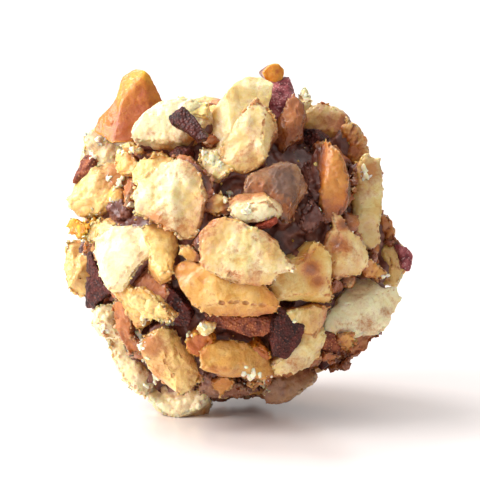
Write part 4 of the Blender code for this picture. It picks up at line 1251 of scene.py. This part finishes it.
def scatter(name, spots, smallest, largest, material, clumped=False):
    """One piece made of a crumb at each spot, mostly small ones. Clumped crumbs stick together."""
    corners, faces, count = [], [], 0
    for spot in spots:
        shape, sides = CRUMBS[chance.randrange(len(CRUMBS))]
        size = (smallest + (largest - smallest) * chance.random() ** 2.5) * MM
        turn = Euler([chance.uniform(0, 6.3) for _ in range(3)]).to_matrix()
        scale = Matrix.Diagonal([size * chance.uniform(0.8, 1.7), size, size * chance.uniform(0.5, 1.0)])
        corners.append(shape @ np.array(turn @ scale).T + np.array(spot))
        faces.append(sides + count)
        count += len(shape)
    mesh = bpy.data.meshes.new(name)
    mesh.from_pydata(np.concatenate(corners).tolist(), [], np.concatenate(faces).tolist())
    piece = link(name, mesh)
    piece.data.materials.append(material)
    if clumped:
        skin_over(piece, 0.08, 0)
        push(piece, crumble, 0.16)
        apply_all(piece)
    points = points_of(piece)
    store(piece, "tone", np.full(len(points), 0.05))
    for absent in ("toast_and_shade", "edge", "glaze_and_shade"):
        store(piece, absent, np.zeros(len(points)))
    return piece


# %% [markdown]
# ## Where the crumbs lie
#
# Rim crumbs catch on the sharpest, driest edges. Drifts lie where many crumbs fell together, and rays find
# the surface there. The rest stick to the chocolate, spread over it by chance.

# %% Scatter the crumbs
dust = random.Random(21)
SHARP, DRY = 0.8, 0.45
RIM_SHARE = 0.03
CHOCOLATE_CRUMBS = 900
rims, gaps, drifts = [], [], []
for name, nut in nuts.items():
    if finish[name] in SKINS:
        continue
    points, normals = points_of(nut), normals_of(nut)
    edge, glaze_and_shade = np.empty(len(points), np.float32), np.empty(len(points), np.float32)
    nut.data.attributes["edge"].data.foreach_get("value", edge)
    nut.data.attributes["glaze_and_shade"].data.foreach_get("value", glaze_and_shade)
    sharp = np.flatnonzero((edge > SHARP) & (glaze_and_shade < DRY))
    share = dust.uniform(0.3, 1.0)
    for index in dust.sample(sharp.tolist(), min(len(sharp), int(len(sharp) * RIM_SHARE * share))):
        rims.append(points[index] + normals[index] * 0.02 * MM)
for polygon in dust.sample(list(chocolate.data.polygons), CHOCOLATE_CRUMBS):
    gaps.append(np.array(polygon.center))
# Where dust has drifted together: the middle in view, how far it spreads and how many crumbs.
DRIFTS = (
    (-9.1, -8.6, 0.22, 16), (-9.0, -9.4, 0.15, 8), (-8.5, -10.6, 0.15, 8), (-7.7, -12.6, 0.2, 12),
    (-8.6, -13.4, 0.25, 12), (-11.3, 6.6, 0.25, 14), (-12.2, 7.2, 0.2, 8), (-11.0, 9.9, 0.25, 12),
    (-9.9, 9.9, 0.15, 7), (-0.6, 5.3, 0.25, 9), (-2.4, 9.0, 0.35, 16), (-1.4, 8.3, 0.25, 9),
    (-15.0, 1.3, 0.25, 10), (-6.4, -7.1, 0.2, 8), (1.8, -12.4, 0.4, 14), (3.2, -12.9, 0.4, 12),
    (-4.3, -8.3, 0.15, 6), (12.9, 7.6, 0.4, 10), (14.9, -2.5, 0.15, 5), (-13.9, 3.6, 0.3, 10),
    (-13.2, 11.2, 0.35, 14), (-13.9, 9.4, 0.3, 12), (-11.9, 4.8, 0.15, 5), (7.6, 15.4, 0.25, 8),
    (-9.9, 4.4, 0.15, 7), (-9.6, 5.6, 0.15, 6), (-12.6, -7.6, 0.25, 10), (-2.9, -7.4, 0.15, 5),
    (1.4, 4.3, 0.3, 8), (6.0, -6.8, 0.12, 4), (-8.9, -6.6, 0.2, 8),
)
for across, above, spread, count in DRIFTS:
    for _ in range(count):
        start = in_view(across + dust.gauss(0, spread), above + dust.gauss(0, spread), OUTSIDE)
        hits = []
        for piece in [chocolate] + [nuts[name] for name, (middle, looks) in faces.items()
                                    if (middle - start).cross(NEAR).length < 6 * MM]:
            struck, place, *_ = piece.ray_cast(start, -NEAR)
            if struck:
                hits.append(place)
        if hits:
            drifts.append(np.array(max(hits, key=lambda hit: hit.dot(NEAR))))
crumbs = {"rim_crumbs": scatter("rim_crumbs", rims, 0.06, 0.28, nut_dust),
          "drifted_crumbs": scatter("drifted_crumbs", drifts, 0.2, 0.75, nut_dust, clumped=True),
          "gap_crumbs": scatter("gap_crumbs", gaps, 0.1, 0.5, materials["golden_nut"])}
print({name: len(piece.data.polygons) for name, piece in crumbs.items()})

# %% [markdown]
# ## The floor
#
# The truffle stands on a white board with a slight sheen. Its white is a touch pink, which shows only in
# the shadow, where the light does not burn it out.

# %% The floor
bpy.ops.object.select_all(action="DESELECT")
bpy.ops.mesh.primitive_plane_add(size=4, location=(0, 0, 0))
floor = bpy.context.object
floor.name = "white_board"
floor_material, floor_tree = new_material("satin white board")[:2]
floor_shader = add_node(floor_tree, "ShaderNodeBsdfPrincipled",
                        {"Base Color": (0.96, 0.89, 0.87, 1), "Roughness": 0.18, "Specular IOR Level": 0.3})
add_node(floor_tree, "ShaderNodeOutputMaterial", {"Surface": floor_shader.outputs[0]})
floor.data.materials.append(floor_material)
print("floor", floor.name)

# %% [markdown]
# ## Hand every piece over
#
# Every piece rides on the one body, and each nut that a imported solid stands for replaces it.

# %% Ride and replace
for name, nut in nuts.items():
    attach(nut, "root")
    if name in nodes:
        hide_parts(name)
for name, piece in crumbs.items():
    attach(piece, "root")
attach(chocolate, "root")
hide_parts("chocolate_ball")
